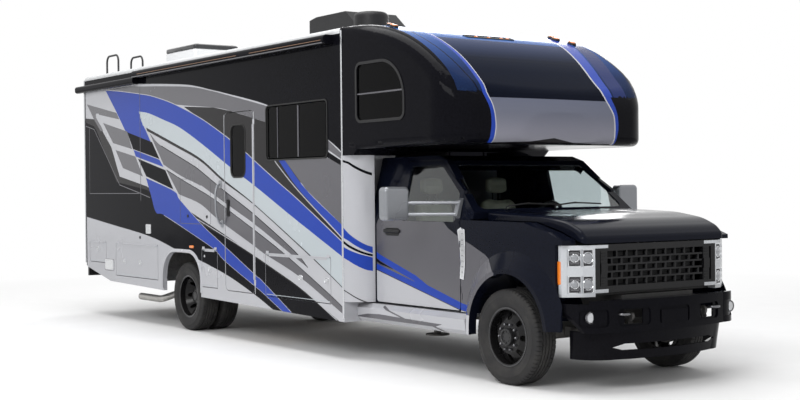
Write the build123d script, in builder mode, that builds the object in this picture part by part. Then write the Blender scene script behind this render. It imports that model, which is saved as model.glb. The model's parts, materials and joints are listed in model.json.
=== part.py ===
"""Motorhome with an over-cab body on a heavy pickup cab chassis.

Millimetres. +X is forward, +Y is the vehicle's left and +Z is up. The origin is on the
ground, under the middle of the overall length. Each block makes one sub-part.
"""
from build123d import *
import math
import os

os.makedirs("parts", exist_ok=True)

# ------------------------------------------------------------------ driving dimensions
WHEELBASE = 6000
FRONT_OVERHANG = 990  # front axle to the bumper's face
REAR_OVERHANG = 3200  # rear axle to the rear bumper's face
AXLE_F = (WHEELBASE + REAR_OVERHANG - FRONT_OVERHANG) / 2
AXLE_R = AXLE_F - WHEELBASE
BUMPER_FRONT_X = AXLE_F + FRONT_OVERHANG
BUMPER_REAR_X = AXLE_R - REAR_OVERHANG

DOOR_GAP = 8  # shut line round every door
HINGE_OUT = 5  # a door's hinge line stands this far outside its skin
HINGE_R = HINGE_OUT
HINGE_LEAF_T = 3
HINGE_LEAF = 28
HINGE_KNUCKLE = 60
REST = 0.3  # soft pieces and running parts stand this far from their seats

# Running gear
TYRE_R = 419
TYRE_W = 240
RIM_R = 248
RIM_WALL = 9
HUB_R = 95
FRONT_TRACK_HALF = 945
TWIN_OUTER_HALF = 1065
TWIN_SPACING = 275
KINGPIN_HALF = 860
STEER_LOCK = 35

# Frame rails
RAIL_OUT = 432
RAIL_FLANGE = 80
RAIL_WALL = 8
RAIL_Z0 = 600
RAIL_H = 200
RAIL_Z1 = RAIL_Z0 + RAIL_H
RAIL_FRONT_X = AXLE_F + 790

# Coach body
HALF = 1257  # half the coach's width
WALL = 50
REAR_WALL_T = 60
REAR_BUMPER_T = 100
COACH_REAR_X = BUMPER_REAR_X + REAR_BUMPER_T
COACH_FRONT_X = AXLE_F - 2290
ROOF_Z1 = 3350
ROOF_T = 60
ROOF_Z0 = ROOF_Z1 - ROOF_T
ROOF_EDGE_R = 45
FLOOR_Z1 = 1100
FLOOR_T = 60
FLOOR_Z0 = FLOOR_Z1 - FLOOR_T
SKIRT_REAR_X = AXLE_R - 2210  # the skirt rises behind this point
SKIRT_REAR_Z = 500
SKIRT_FRONT_Z = 386
TAIL_Z = 680  # bottom of the rear wall
WHEEL_ARCH_HALF = 525
WHEEL_ARCH_TOP = 966
WHEEL_ARCH_R = 330
BULKHEAD_T = 40
PASS_HALF = 620  # half the width of the way from cab to coach

# Coach openings: X from the rear to the front, and Z
WINDOW_X = (AXLE_F - 3855, AXLE_F - 2570)
WINDOW_Z = (2040, 2650)
WINDOW_R = 60
WINDOW_RIM = 28
GLASS_T = 6
ENTRY_X = (AXLE_F - 4840, AXLE_F - 4140)
ENTRY_Z = (560, 2620)
ENTRY_R = 70
ENTRY_HINGE_Z = (ENTRY_Z[0] + 160, ENTRY_Z[1] - 160)
PANE_X = (AXLE_F - 4680, AXLE_F - 4340)
PANE_Z = (1875, 2465)
PANE_R = 90
# Baggage doors: name, rear X, front X, bottom Z, top Z, sides that have it
BAGGAGE = (
    ("front", AXLE_F - 3900, AXLE_F - 2540, 550, 1030, (-1, 1)),
    ("mid", AXLE_R + 550, AXLE_R + 960, 570, 1030, (-1,)),
    ("rear", AXLE_R - 2020, AXLE_R - 680, 585, 1030, (-1, 1)),
    ("tail", AXLE_R - 2940, AXLE_R - 2350, 740, 1030, (-1,)),
)
BAGGAGE_T = 40
BAGGAGE_R = 12
BIN_DEPTH = 620
BIN_WALL = 12

# Over-cab cap, as a side profile of its front face and crown
CAP_CROWN_X = AXLE_F - 2157
CAP_CROWN_R = 2200
CAP_NOSE_X = AXLE_F - 400
CAP_NOSE_Z = 2540
CAP_BOTTOM_Z = 2120
CAP_BACK_Z = 2060
CAP_CORNER_R = 320
CAP_WALL = 40
CAP_EDGE_R = 60
CAP_WINDOW_X = (AXLE_F - 2050, AXLE_F - 1210)
CAP_WINDOW_Z = (2370, 2970)
CAP_WINDOW_R = 400  # its upper front corner

# Cab
CAB_HALF = 1016
CAB_BACK_X = AXLE_F - 2160
FIREWALL_X = AXLE_F - 545
CAB_SILL_Z = 590
CAB_FLOOR_Z = 860
CAB_FLOOR_T = 40
CAB_SILL_IN = 800
CAB_WALL = 50
BELT_Z = 1410
CAB_ROOF_Z = 2035
TUMBLEHOME = 0.25  # inward lean of the cab's upper sides
COWL_Z = 1440
SCREEN_BASE = (AXLE_F - 515, 1500)
SCREEN_TOP = (AXLE_F - 1075, 1985)
CAB_DOOR_X = (AXLE_F - 2060, AXLE_F - 700)
CAB_DOOR_Z0 = 600
CAB_DOOR_T = 90
CAB_HINGE_Z = (760, 1180)
CAB_GLASS_X = (AXLE_F - 1630, AXLE_F - 775)
CAB_GLASS_TOP_Z = 1940
CAB_FRAME_T = 45

# Hood, fenders and front end
HOOD_HALF = 862
HOOD_BACK_X = FIREWALL_X + 70
HOOD_NOSE_X = AXLE_F + 780
HOOD_T = 28
HOOD_HINGE_X = HOOD_BACK_X + 15
HOOD_HINGE_Z = COWL_Z + 20
HOOD_HINGE_Y = 690
HOOD_LUG_T = 14
HOOD_PIN_R = 6
ARCH_X = AXLE_F + 30
ARCH_Z = 470
ARCH_R = 505
LINER_R = 535
LINER_T = 8
LINER_IN = 620
FLARE_OUT = 1100
FLARE_LIP_R = 545
FLARE_SKIRT_R = 700
FLARE_X = (AXLE_F - 517, AXLE_F + 680)
FLARE_FOOT_Z = 515
FLARE_REAR_Z = 405
FENDER_SKIN = 28
FENDER_FRONT_X = AXLE_F + 600
GRILLE_HALF = 735
GRILLE_Z = (830, 1235)
GRILLE_X = (AXLE_F + 725, AXLE_F + 785)
LAMP_Z = (800, 1232)
LAMP_OUT = 985
BUMPER_Z = (505, 775)
BUMPER_HALF = 991
BUMPER_T = 26
VALANCE_Z0 = 267
VALANCE_HALF = 830

SIDES = (("left", 1), ("right", -1))


# ------------------------------------------------------------------ shared shapes
def ordered(a, b):
    """The two values, lowest first."""
    return (a, b) if a < b else (b, a)


def block(x, y, z, mode=Mode.ADD):
    """Box between pairs of X, Y and Z."""
    with Locations(((x[0] + x[1]) / 2, (y[0] + y[1]) / 2, (z[0] + z[1]) / 2)):
        Box(x[1] - x[0], y[1] - y[0], z[1] - z[0], mode=mode)


def side_prism(points, y, mode=Mode.ADD, radius=0):
    """Prism along Y of a closed outline of X, Z points."""
    with BuildSketch(Plane.XZ.offset(-y[1])) as face:
        with BuildLine():
            Polyline(*points, close=True)
        make_face()
        if radius:
            fillet(face.vertices(), radius)
    extrude(face.sketch, amount=y[1] - y[0], mode=mode)


def plan_prism(points, z, mode=Mode.ADD):
    """Prism along Z of a closed outline of X, Y points."""
    with BuildSketch(Plane.XY.offset(z[0])) as face:
        with BuildLine():
            Polyline(*points, close=True)
        make_face()
    extrude(face.sketch, amount=z[1] - z[0], mode=mode)


def cross_prism(points, x, mode=Mode.ADD):
    """Prism along X of a closed outline of Y, Z points."""
    with BuildSketch(Plane.YZ.offset(x[0])) as face:
        with BuildLine():
            Polyline(*points, close=True)
        make_face()
    extrude(face.sketch, amount=x[1] - x[0], mode=mode)


def rounded_prism(x, z, y, radius, mode=Mode.ADD):
    """Prism along Y of a rectangle in X and Z with rounded corners."""
    with BuildSketch(Plane.XZ.offset(-y[1])) as face:
        with Locations(((x[0] + x[1]) / 2, (z[0] + z[1]) / 2)):
            RectangleRounded(x[1] - x[0], z[1] - z[0], radius)
    extrude(face.sketch, amount=y[1] - y[0], mode=mode)


def across(x, z, r, y, mode=Mode.ADD):
    """Round bar along Y."""
    with BuildSketch(Plane.XZ.offset(-y[1])) as face:
        with Locations((x, z)):
            Circle(r)
    extrude(face.sketch, amount=y[1] - y[0], mode=mode)


def lengthwise(y, z, r, x, mode=Mode.ADD):
    """Round bar along X."""
    with BuildSketch(Plane.YZ.offset(x[0])) as face:
        with Locations((y, z)):
            Circle(r)
    extrude(face.sketch, amount=x[1] - x[0], mode=mode)


def upright(x, y, r, z, mode=Mode.ADD):
    """Round bar along Z."""
    with BuildSketch(Plane.XY.offset(z[0])) as face:
        with Locations((x, y)):
            Circle(r)
    extrude(face.sketch, amount=z[1] - z[0], mode=mode)


def grown(pair, by):
    """A pair of limits moved apart by the same amount at each end."""
    return (pair[0] - by, pair[1] + by)


def hinge_line(axis, at, leaf_in, length, skin, sign, mode=Mode.ADD):
    """Barrel of a surface hinge, with the leaf that joins it to its skin.

    axis is "X" for a top hinge or "Z" for an upright one; at holds the barrel's two other
    coordinates; leaf_in is how far the leaf reaches, negative for down or backwards.
    """
    leaf_y = ordered(skin, skin + sign * HINGE_LEAF_T)
    if axis == "X":
        lengthwise(at[0], at[1], HINGE_R, length, mode)
        block(length, leaf_y, ordered(at[1], at[1] + leaf_in), mode)
    else:
        upright(at[0], at[1], HINGE_R, length, mode)
        block(ordered(at[0], at[0] + leaf_in), leaf_y, length, mode)


pieces = {}

# ------------------------------------------------------------------ chassis frame
BEARER_W = 60
BEARER_H = 140
BEARER_Z0 = FLOOR_Z0 - BEARER_H
BEARER_HALF = HALF - WALL - BIN_DEPTH - 10
BEARER_X = [COACH_REAR_X + 260 + 920 * n for n in range(8)]
JACK_FOOT_R = 120
JACK_FOOT_Z = 260
JACK_X = (AXLE_F - 1800, AXLE_R - 760)
JACK_R = 38
HITCH_HALF = 32
HITCH_WALL = 6
HITCH_LEN = 260
HITCH_Z = 480
HITCH_PIN_R = 8.0
HITCH_PIN_IN = 70  # pin hole behind the receiver's mouth
RAIL_REAR_X = COACH_REAR_X + REAR_WALL_T
HOOK_Z = 630
HOOK_R = 42
HOOK_BAR = 13
HOOK_Y = RAIL_OUT + HOOK_BAR
HOOK_X = BUMPER_FRONT_X - 95

with BuildPart() as chassis_frame:
    for _, sign in SIDES:
        web = ordered(sign * (RAIL_OUT - RAIL_WALL), sign * RAIL_OUT)
        flange = ordered(sign * (RAIL_OUT - RAIL_FLANGE), sign * RAIL_OUT)
        block((RAIL_REAR_X, RAIL_FRONT_X), web, (RAIL_Z0, RAIL_Z1))
        for z in (RAIL_Z0, RAIL_Z1 - RAIL_WALL):
            block((RAIL_REAR_X, RAIL_FRONT_X), flange, (z, z + RAIL_WALL))
    inner = RAIL_OUT - RAIL_WALL
    for x in (RAIL_REAR_X, AXLE_R - 2200, AXLE_R - 850, AXLE_R + 700, AXLE_R + 2000, AXLE_F - 2600):
        block((x, x + BEARER_W), (-inner, inner), (RAIL_Z0, RAIL_Z1))
    block((RAIL_FRONT_X - 100, RAIL_FRONT_X), (-inner, inner), (RAIL_Z0, RAIL_Z1))
    for x in BEARER_X:
        block((x, x + BEARER_W), (-BEARER_HALF, BEARER_HALF), (BEARER_Z0, FLOOR_Z0))
        for _, sign in SIDES:
            pad = ordered(sign * (RAIL_OUT - RAIL_FLANGE), sign * RAIL_OUT)
            block((x, x + BEARER_W), pad, (RAIL_Z1, BEARER_Z0))
    # Cab mounts from each rail up to the cab floor
    for x in (CAB_BACK_X + 100, FIREWALL_X - 200):
        for _, sign in SIDES:
            outrigger = ordered(sign * (RAIL_OUT - RAIL_FLANGE), sign * (RAIL_OUT + 120))
            block((x, x + BEARER_W), outrigger, (RAIL_Z1, CAB_FLOOR_Z - CAB_FLOOR_T))
    # Levelling jacks, raised: a leg beside each rail, with its foot
    for x in JACK_X:
        for _, sign in SIDES:
            y = sign * (RAIL_OUT + JACK_R - RAIL_WALL)
            upright(x, y, JACK_R, (JACK_FOOT_Z, RAIL_Z1))
            upright(x, y, JACK_FOOT_R, (JACK_FOOT_Z - 14, JACK_FOOT_Z))
    # Hitch receiver under the rear cross-member, on two hangers
    tube = (-HITCH_HALF - HITCH_WALL, HITCH_HALF + HITCH_WALL)
    mouth_x = RAIL_REAR_X - 70
    block((mouth_x, mouth_x + HITCH_LEN), tube, (HITCH_Z + tube[0], HITCH_Z + tube[1]))
    block((RAIL_REAR_X, RAIL_REAR_X + BEARER_W), (-inner, inner), (HITCH_Z + HITCH_HALF, RAIL_Z0))
    for _, sign in SIDES:
        y = sign * HOOK_Y
        bar = ordered(y - HOOK_BAR, y + HOOK_BAR)
        block((RAIL_FRONT_X - 60, HOOK_X - HOOK_R + HOOK_BAR), bar, (HOOK_Z - HOOK_BAR, HOOK_Z + HOOK_BAR))
        across(HOOK_X, HOOK_Z, HOOK_R, bar)
        across(HOOK_X, HOOK_Z, HOOK_R - 2 * HOOK_BAR, grown(bar, 5), mode=Mode.SUBTRACT)
    block(
        (mouth_x - 1, mouth_x + HITCH_LEN - 20),
        (-HITCH_HALF, HITCH_HALF),
        (HITCH_Z - HITCH_HALF, HITCH_Z + HITCH_HALF),
        mode=Mode.SUBTRACT,
    )
    across(
        mouth_x + HITCH_PIN_IN, HITCH_Z, HITCH_PIN_R, (tube[0] - 1, tube[1] + 1), mode=Mode.SUBTRACT
    )
pieces["chassis_frame"] = chassis_frame

# ------------------------------------------------------------------ axles and springs
SPRING_LEAF = 12
SPRING_W = 70
SPRING_HALF_LEN = 620
AXLE_TUBE_R = 55
DIFF_R = 190
SHAFT_R = 45
GEARBOX_X = (AXLE_F - 1150, AXLE_F - 480)
RAIL_MID = RAIL_OUT - RAIL_FLANGE / 2
EAR_R = 30


def leaf_spring(axle_x, y_mid, leaves, seat_z):
    """Stack of leaves on the axle, each shorter than the one above it, with end shackles."""
    y = (y_mid - SPRING_W / 2, y_mid + SPRING_W / 2)
    for n in range(leaves):
        half = SPRING_HALF_LEN - 110 * n
        top = seat_z + SPRING_LEAF * (leaves - n)
        block((axle_x - half, axle_x + half), y, (top - SPRING_LEAF, top))
    top = seat_z + SPRING_LEAF * leaves
    for end in (-1, 1):
        x = axle_x + end * (SPRING_HALF_LEN - 25)
        block((x - 25, x + 25), y, (top, RAIL_Z0))


with BuildPart() as front_axle:
    across(AXLE_F, TYRE_R, AXLE_TUBE_R, (-KINGPIN_HALF + 75, KINGPIN_HALF - 75))
    for _, sign in SIDES:
        # The yoke's two ears hold the kingpin above and below the knuckle
        arm = ordered(sign * (KINGPIN_HALF - 80), sign * KINGPIN_HALF)
        stem = ordered(sign * (KINGPIN_HALF - 80), sign * (KINGPIN_HALF - 66))
        block((AXLE_F - 35, AXLE_F + 35), stem, (TYRE_R - 130, TYRE_R + 130))
        for z in (TYRE_R - 130, TYRE_R + 105):
            block((AXLE_F - EAR_R, AXLE_F + EAR_R), arm, (z, z + 25))
            upright(AXLE_F, sign * KINGPIN_HALF, EAR_R, (z, z + 25))
        leaf_spring(AXLE_F, sign * RAIL_MID, 4, TYRE_R + AXLE_TUBE_R)
        seat = ordered(sign * (RAIL_MID - SPRING_W / 2), sign * (RAIL_MID + SPRING_W / 2))
        block((AXLE_F - 60, AXLE_F + 60), seat, (TYRE_R - 20, TYRE_R + AXLE_TUBE_R))
pieces["front_axle"] = front_axle

DISC_T = 14
TWIN_DISH = -100
hub_seat = TWIN_OUTER_HALF + TWIN_DISH - 1.5 * DISC_T - REST
with BuildPart() as rear_axle:
    across(AXLE_R, TYRE_R, AXLE_TUBE_R + 10, (-hub_seat, hub_seat))
    with Locations((AXLE_R, 0, TYRE_R)):
        Sphere(DIFF_R)
    lengthwise(0, TYRE_R, AXLE_TUBE_R, (AXLE_R, AXLE_R + 330))
    for _, sign in SIDES:
        leaf_spring(AXLE_R, sign * RAIL_MID, 6, TYRE_R + AXLE_TUBE_R + 10)
        seat = ordered(sign * (RAIL_MID - SPRING_W / 2), sign * (RAIL_MID + SPRING_W / 2))
        block((AXLE_R - 80, AXLE_R + 80), seat, (TYRE_R - 20, TYRE_R + AXLE_TUBE_R + 10))
    # Propeller shaft, level with the gearbox's tail
    lengthwise(0, TYRE_R, SHAFT_R, (AXLE_R + 330, GEARBOX_X[0]))
pieces["rear_axle"] = rear_axle

with BuildPart() as engine_block:
    block((AXLE_F - 480, AXLE_F + 480), (-300, 300), (TYRE_R + 130, 1240))
    block(GEARBOX_X, (-190, 190), (TYRE_R - 80, CAB_FLOOR_Z - CAB_FLOOR_T - 30))
    web_in = RAIL_OUT - RAIL_WALL
    block((AXLE_F - 60, AXLE_F + 60), (-web_in, web_in), (RAIL_Z0 + 40, RAIL_Z0 + 110))
    block((AXLE_F - 1000, AXLE_F - 900), (-web_in, web_in), (RAIL_Z0 + 40, RAIL_Z0 + 100))
pieces["engine_block"] = engine_block

PIPE_R = 45
PIPE_Y = PIPE_R - BEARER_HALF
PIPE_Z = 548
SILENCER_R = 80
SILENCER_X = (AXLE_R + 1000, AXLE_R + 1800)
TAILPIPE_Y = -1080
TAILPIPE_Z = 320
TAILPIPE_X = AXLE_R - 1600
with BuildPart() as exhaust:
    lengthwise(PIPE_Y, PIPE_Z - 45, SILENCER_R, SILENCER_X)
    for x in BEARER_X:
        if AXLE_R < x < SILENCER_X[1]:
            block((x + 15, x + 45), (PIPE_Y - 6, PIPE_Y + 6), (PIPE_Z + PIPE_R - 2, BEARER_Z0))
    with BuildLine() as pipe_path:
        FilletPolyline(
            (SILENCER_X[0], PIPE_Y, PIPE_Z),
            (AXLE_R - 620, PIPE_Y, PIPE_Z),
            (AXLE_R - 960, TAILPIPE_Y, TAILPIPE_Z),
            (TAILPIPE_X, TAILPIPE_Y, TAILPIPE_Z),
            radius=120,
        )
    with BuildSketch(Plane(origin=(SILENCER_X[0], PIPE_Y, PIPE_Z), z_dir=(-1, 0, 0))):
        Circle(PIPE_R)
        Circle(PIPE_R - 3, mode=Mode.SUBTRACT)
    sweep(path=pipe_path.line)
pieces["exhaust"] = exhaust

TANK_X = (AXLE_R - 2120, AXLE_R - 900)
with BuildPart() as fuel_tank:
    block(TANK_X, (-330, 330), (RAIL_Z0 - 200, BEARER_Z0))
    fillet(fuel_tank.edges().filter_by(Axis.X), 60)
pieces["fuel_tank"] = fuel_tank

# ------------------------------------------------------------------ wheels
LUG_COUNT = 10
LUG_CIRCLE_R = 112
HAND_HOLES = 8
HAND_HOLE_LEN = 74
HAND_HOLE_W = 50
HAND_HOLE_CIRCLE_R = 184
SIDE_BULGE = TYRE_W / 2
TREAD_HALF = 96
RIM_HALF = 92


def wheel_axis(x, sign):
    """Spin axis of a wheel, pointing out of its side of the vehicle."""
    return Axis(origin=(x, 0, TYRE_R), direction=(0, sign, 0))


def tyre(x, y):
    """Road tyre revolved from a section with a flat tread and round sidewalls."""
    with BuildSketch(Plane.YZ.offset(x)) as face:
        with BuildLine():
            tread_z = TYRE_R + TYRE_R
            shoulder_z = tread_z - 26
            bead_z = TYRE_R + RIM_R
            bulge_z = (shoulder_z + bead_z) / 2 - 6
            Polyline(
                (y - RIM_HALF + 8, bead_z), (y + RIM_HALF - 8, bead_z), (y + RIM_HALF, bead_z + 14)
            )
            ThreePointArc(
                (y + RIM_HALF, bead_z + 14), (y + SIDE_BULGE, bulge_z), (y + TREAD_HALF + 12, shoulder_z)
            )
            ThreePointArc(
                (y + TREAD_HALF + 12, shoulder_z),
                (y + TREAD_HALF + 6, tread_z - 9),
                (y + TREAD_HALF - 8, tread_z - 2),
            )
            Polyline(
                (y + TREAD_HALF - 8, tread_z - 2),
                (y + TREAD_HALF - 40, tread_z),
                (y - TREAD_HALF + 40, tread_z),
                (y - TREAD_HALF + 8, tread_z - 2),
            )
            ThreePointArc(
                (y - TREAD_HALF + 8, tread_z - 2),
                (y - TREAD_HALF - 6, tread_z - 9),
                (y - TREAD_HALF - 12, shoulder_z),
            )
            ThreePointArc(
                (y - TREAD_HALF - 12, shoulder_z), (y - SIDE_BULGE, bulge_z), (y - RIM_HALF, bead_z + 14)
            )
            Line((y - RIM_HALF, bead_z + 14), (y - RIM_HALF + 8, bead_z))
        make_face()
    revolve(face.sketch, axis=wheel_axis(x, 1))


def rim(x, y, sign, dish):
    """Wheel in section: barrel between its flanges, and a disc dished out by so much."""
    z = TYRE_R + RIM_R
    hub_y = y + sign * dish
    with BuildSketch(Plane.YZ.offset(x)) as face:
        with BuildLine():
            Polyline(
                (y - RIM_HALF + 8, z),
                (y + RIM_HALF - 8, z),
                (y + RIM_HALF, z + 14),
                (y + RIM_HALF + 7, z + 14),
                (y + RIM_HALF + 7, z - RIM_WALL),
                (y - RIM_HALF - 7, z - RIM_WALL),
                (y - RIM_HALF - 7, z + 14),
                (y - RIM_HALF, z + 14),
                close=True,
            )
        make_face()
    revolve(face.sketch, axis=wheel_axis(x, 1))
    with BuildSketch(Plane.YZ.offset(x)) as face:
        root_y = y + sign * RIM_HALF * 0.25
        with BuildLine():
            Polyline(
                (root_y - sign * DISC_T / 2, z - RIM_WALL),
                (hub_y - sign * DISC_T / 2, TYRE_R + HAND_HOLE_CIRCLE_R - 40),
                (hub_y - sign * DISC_T / 2, TYRE_R),
                (hub_y + sign * DISC_T / 2, TYRE_R),
                (hub_y + sign * DISC_T / 2, TYRE_R + HAND_HOLE_CIRCLE_R - 40),
                (root_y + sign * DISC_T / 2, z - RIM_WALL),
                close=True,
            )
        make_face()
    revolve(face.sketch, axis=wheel_axis(x, 1))
    reach = RIM_HALF - 10
    with BuildSketch(Plane.XZ.offset(-(y + reach))) as holes:
        with Locations((x, TYRE_R)):
            with PolarLocations(HAND_HOLE_CIRCLE_R, HAND_HOLES):
                SlotOverall(HAND_HOLE_LEN, HAND_HOLE_W)
    extrude(holes.sketch, amount=2 * reach, mode=Mode.SUBTRACT)


FRONT_DISH = 78
HUB_CAP_LEN = 45
for side, sign in SIDES:
    y = sign * FRONT_TRACK_HALF
    with BuildPart() as front_tyre:
        tyre(AXLE_F, y)
    pieces[f"tyre_front_{side}"] = front_tyre
    with BuildPart() as front_wheel:
        rim(AXLE_F, y, sign, FRONT_DISH)
        face_y = y + sign * (FRONT_DISH + DISC_T / 2)
        across(AXLE_F, TYRE_R, HUB_R - 20, ordered(face_y, face_y + sign * (HUB_CAP_LEN - 20)))
    pieces[f"wheel_front_{side}"] = front_wheel
    outer_y, inner_y = sign * TWIN_OUTER_HALF, sign * (TWIN_OUTER_HALF - TWIN_SPACING)
    with BuildPart() as rear_tyres:
        tyre(AXLE_R, outer_y)
        tyre(AXLE_R, inner_y)
    pieces[f"tyres_rear_{side}"] = rear_tyres
    with BuildPart() as rear_wheels:
        rim(AXLE_R, outer_y, sign, TWIN_DISH)
        # The inner wheel's disc meets the outer wheel's face to face on the hub
        inner_dish = TWIN_SPACING + TWIN_DISH - DISC_T
        rim(AXLE_R, inner_y, sign, inner_dish)
        face_y = outer_y + sign * (TWIN_DISH + DISC_T / 2)
        across(AXLE_R, TYRE_R, HUB_R, ordered(face_y, face_y + sign * (HUB_CAP_LEN + 50)))
    pieces[f"wheels_rear_{side}"] = rear_wheels

# ------------------------------------------------------------------ steering knuckles
SPINDLE_R = 32
BRAKE_R = 190
PIN_R = 24
for side, sign in SIDES:
    with BuildPart() as knuckle:
        pin_y = sign * KINGPIN_HALF
        upright(AXLE_F, pin_y, PIN_R, (TYRE_R - 105 + REST, TYRE_R + 105 - REST))
        body_y = ordered(pin_y - sign * 40, pin_y + sign * 40)
        block((AXLE_F - 45, AXLE_F + 45), body_y, (TYRE_R - 90, TYRE_R + 90))
        disc_y = pin_y + sign * 40
        across(AXLE_F, TYRE_R, BRAKE_R, ordered(disc_y, disc_y + sign * 32))
        stub_end = sign * (FRONT_TRACK_HALF + FRONT_DISH - DISC_T / 2 - REST)
        across(AXLE_F, TYRE_R, SPINDLE_R + 20, ordered(disc_y, stub_end))
    pieces[f"knuckle_{side}"] = knuckle

# ------------------------------------------------------------------ cab
def cab_side(z):
    """Half width of the cab's outer skin at a height."""
    return CAB_HALF - TUMBLEHOME * max(0, z - BELT_Z)


def cab_section(wall):
    """Cross-section of the cab, moved inwards by a wall: straight sides, leaning above."""
    top = CAB_ROOF_Z - wall
    half = CAB_HALF - wall
    lean = cab_side(CAB_ROOF_Z) - wall
    low = CAB_SILL_Z if wall == 0 else CAB_FLOOR_Z
    return ((-half, low), (half, low), (half, BELT_Z), (lean, top), (-lean, top), (-half, BELT_Z))


FENDER_BACK_X = CAB_DOOR_X[1] + DOOR_GAP
FENDER_IN = HOOD_HALF + DOOR_GAP
FENDER_TOP_Z = BELT_Z + 22

with BuildPart() as cab_room:
    cross_prism(cab_section(CAB_WALL), (CAB_BACK_X + CAB_WALL, FIREWALL_X - CAB_WALL))
    side_prism(
        (
            (CAB_BACK_X, CAB_FLOOR_Z),
            (FIREWALL_X - CAB_WALL, CAB_FLOOR_Z),
            (FIREWALL_X - CAB_WALL, COWL_Z - 60),
            (SCREEN_TOP[0] - 60, SCREEN_TOP[1] - 45),
            (SCREEN_TOP[0] - 160, CAB_ROOF_Z - CAB_WALL),
            (CAB_BACK_X, CAB_ROOF_Z - CAB_WALL),
        ),
        (-CAB_HALF, CAB_HALF),
        mode=Mode.INTERSECT,
    )
    # The footwells stay inboard of the fenders
    for _, sign in SIDES:
        beside = ordered(sign * (FENDER_IN - CAB_WALL), sign * CAB_HALF)
        block(
            (FENDER_BACK_X - CAB_WALL, FIREWALL_X), beside, (CAB_SILL_Z, COWL_Z), mode=Mode.SUBTRACT
        )

screen_slope = (
    Vector(SCREEN_TOP[0], 0, SCREEN_TOP[1]) - Vector(SCREEN_BASE[0], 0, SCREEN_BASE[1])
)
screen_len = screen_slope.length
screen_out = Vector(0, 1, 0).cross(screen_slope.normalized())
screen_plane = Plane(
    origin=(SCREEN_BASE[0], 0, SCREEN_BASE[1]), x_dir=(0, 1, 0), z_dir=screen_out
)
SCREEN_LOW = 45
SCREEN_HIGH = 60
SCREEN_HALF_LOW = 900
SCREEN_HALF_HIGH = 790
SCREEN_R = 60
screen_outline = (
    (-SCREEN_HALF_LOW, SCREEN_LOW),
    (SCREEN_HALF_LOW, SCREEN_LOW),
    (SCREEN_HALF_HIGH, screen_len - SCREEN_HIGH),
    (-SCREEN_HALF_HIGH, screen_len - SCREEN_HIGH),
)


def screen_sketch(offset):
    """Windscreen outline on its own slanted plane."""
    with BuildSketch(screen_plane.offset(offset)) as face:
        with BuildLine():
            Polyline(*screen_outline, close=True)
        make_face()
        fillet(face.vertices(), SCREEN_R)
    return face.sketch


door_outline = (
    (CAB_DOOR_X[0], CAB_DOOR_Z0),
    (CAB_DOOR_X[1], CAB_DOOR_Z0),
    (CAB_DOOR_X[1], BELT_Z + 70),
    (CAB_GLASS_X[1] + 55, BELT_Z + 290),
    (CAB_GLASS_X[1] - 380, CAB_GLASS_TOP_Z + 45),
    (CAB_GLASS_X[0] - 60, CAB_GLASS_TOP_Z + 45),
    (CAB_DOOR_X[0] + 60, BELT_Z + 60),
    (CAB_DOOR_X[0], BELT_Z - 40),
)
glass_outline = (
    (CAB_GLASS_X[0], BELT_Z),
    (CAB_GLASS_X[1], BELT_Z),
    (CAB_GLASS_X[1], BELT_Z + 265),
    (CAB_GLASS_X[1] - 360, CAB_GLASS_TOP_Z),
    (CAB_GLASS_X[0], CAB_GLASS_TOP_Z),
)
DOOR_CORNER_R = 30
GLASS_CORNER_R = 35


def outline_face(points, radius, y, offset_by=0.0):
    """Rounded X, Z outline on a plane at a height of Y, grown or shrunk all round."""
    with BuildSketch(Plane.XZ.offset(-y)) as face:
        with BuildLine():
            Polyline(*points, close=True)
        make_face()
        fillet(face.vertices(), radius)
        if offset_by:
            offset(amount=offset_by, kind=Kind.INTERSECTION)
    return face.sketch


# What each door takes out of the shell: the whole side above the floor, and below it
# only what is outboard of the sill
door_cutters = []
for _, sign in SIDES:
    y = ordered(sign * CAB_SILL_IN, sign * (CAB_HALF + 20))
    sill = ordered(sign * (CAB_SILL_IN - 1), sign * (CAB_HALF - CAB_DOOR_T - 15))
    with BuildPart() as cutter:
        extrude(outline_face(door_outline, DOOR_CORNER_R, y[1], DOOR_GAP), amount=y[1] - y[0])
        block(CAB_DOOR_X, sill, (CAB_SILL_Z, CAB_FLOOR_Z), mode=Mode.SUBTRACT)
    door_cutters.append(cutter.part)

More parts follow.
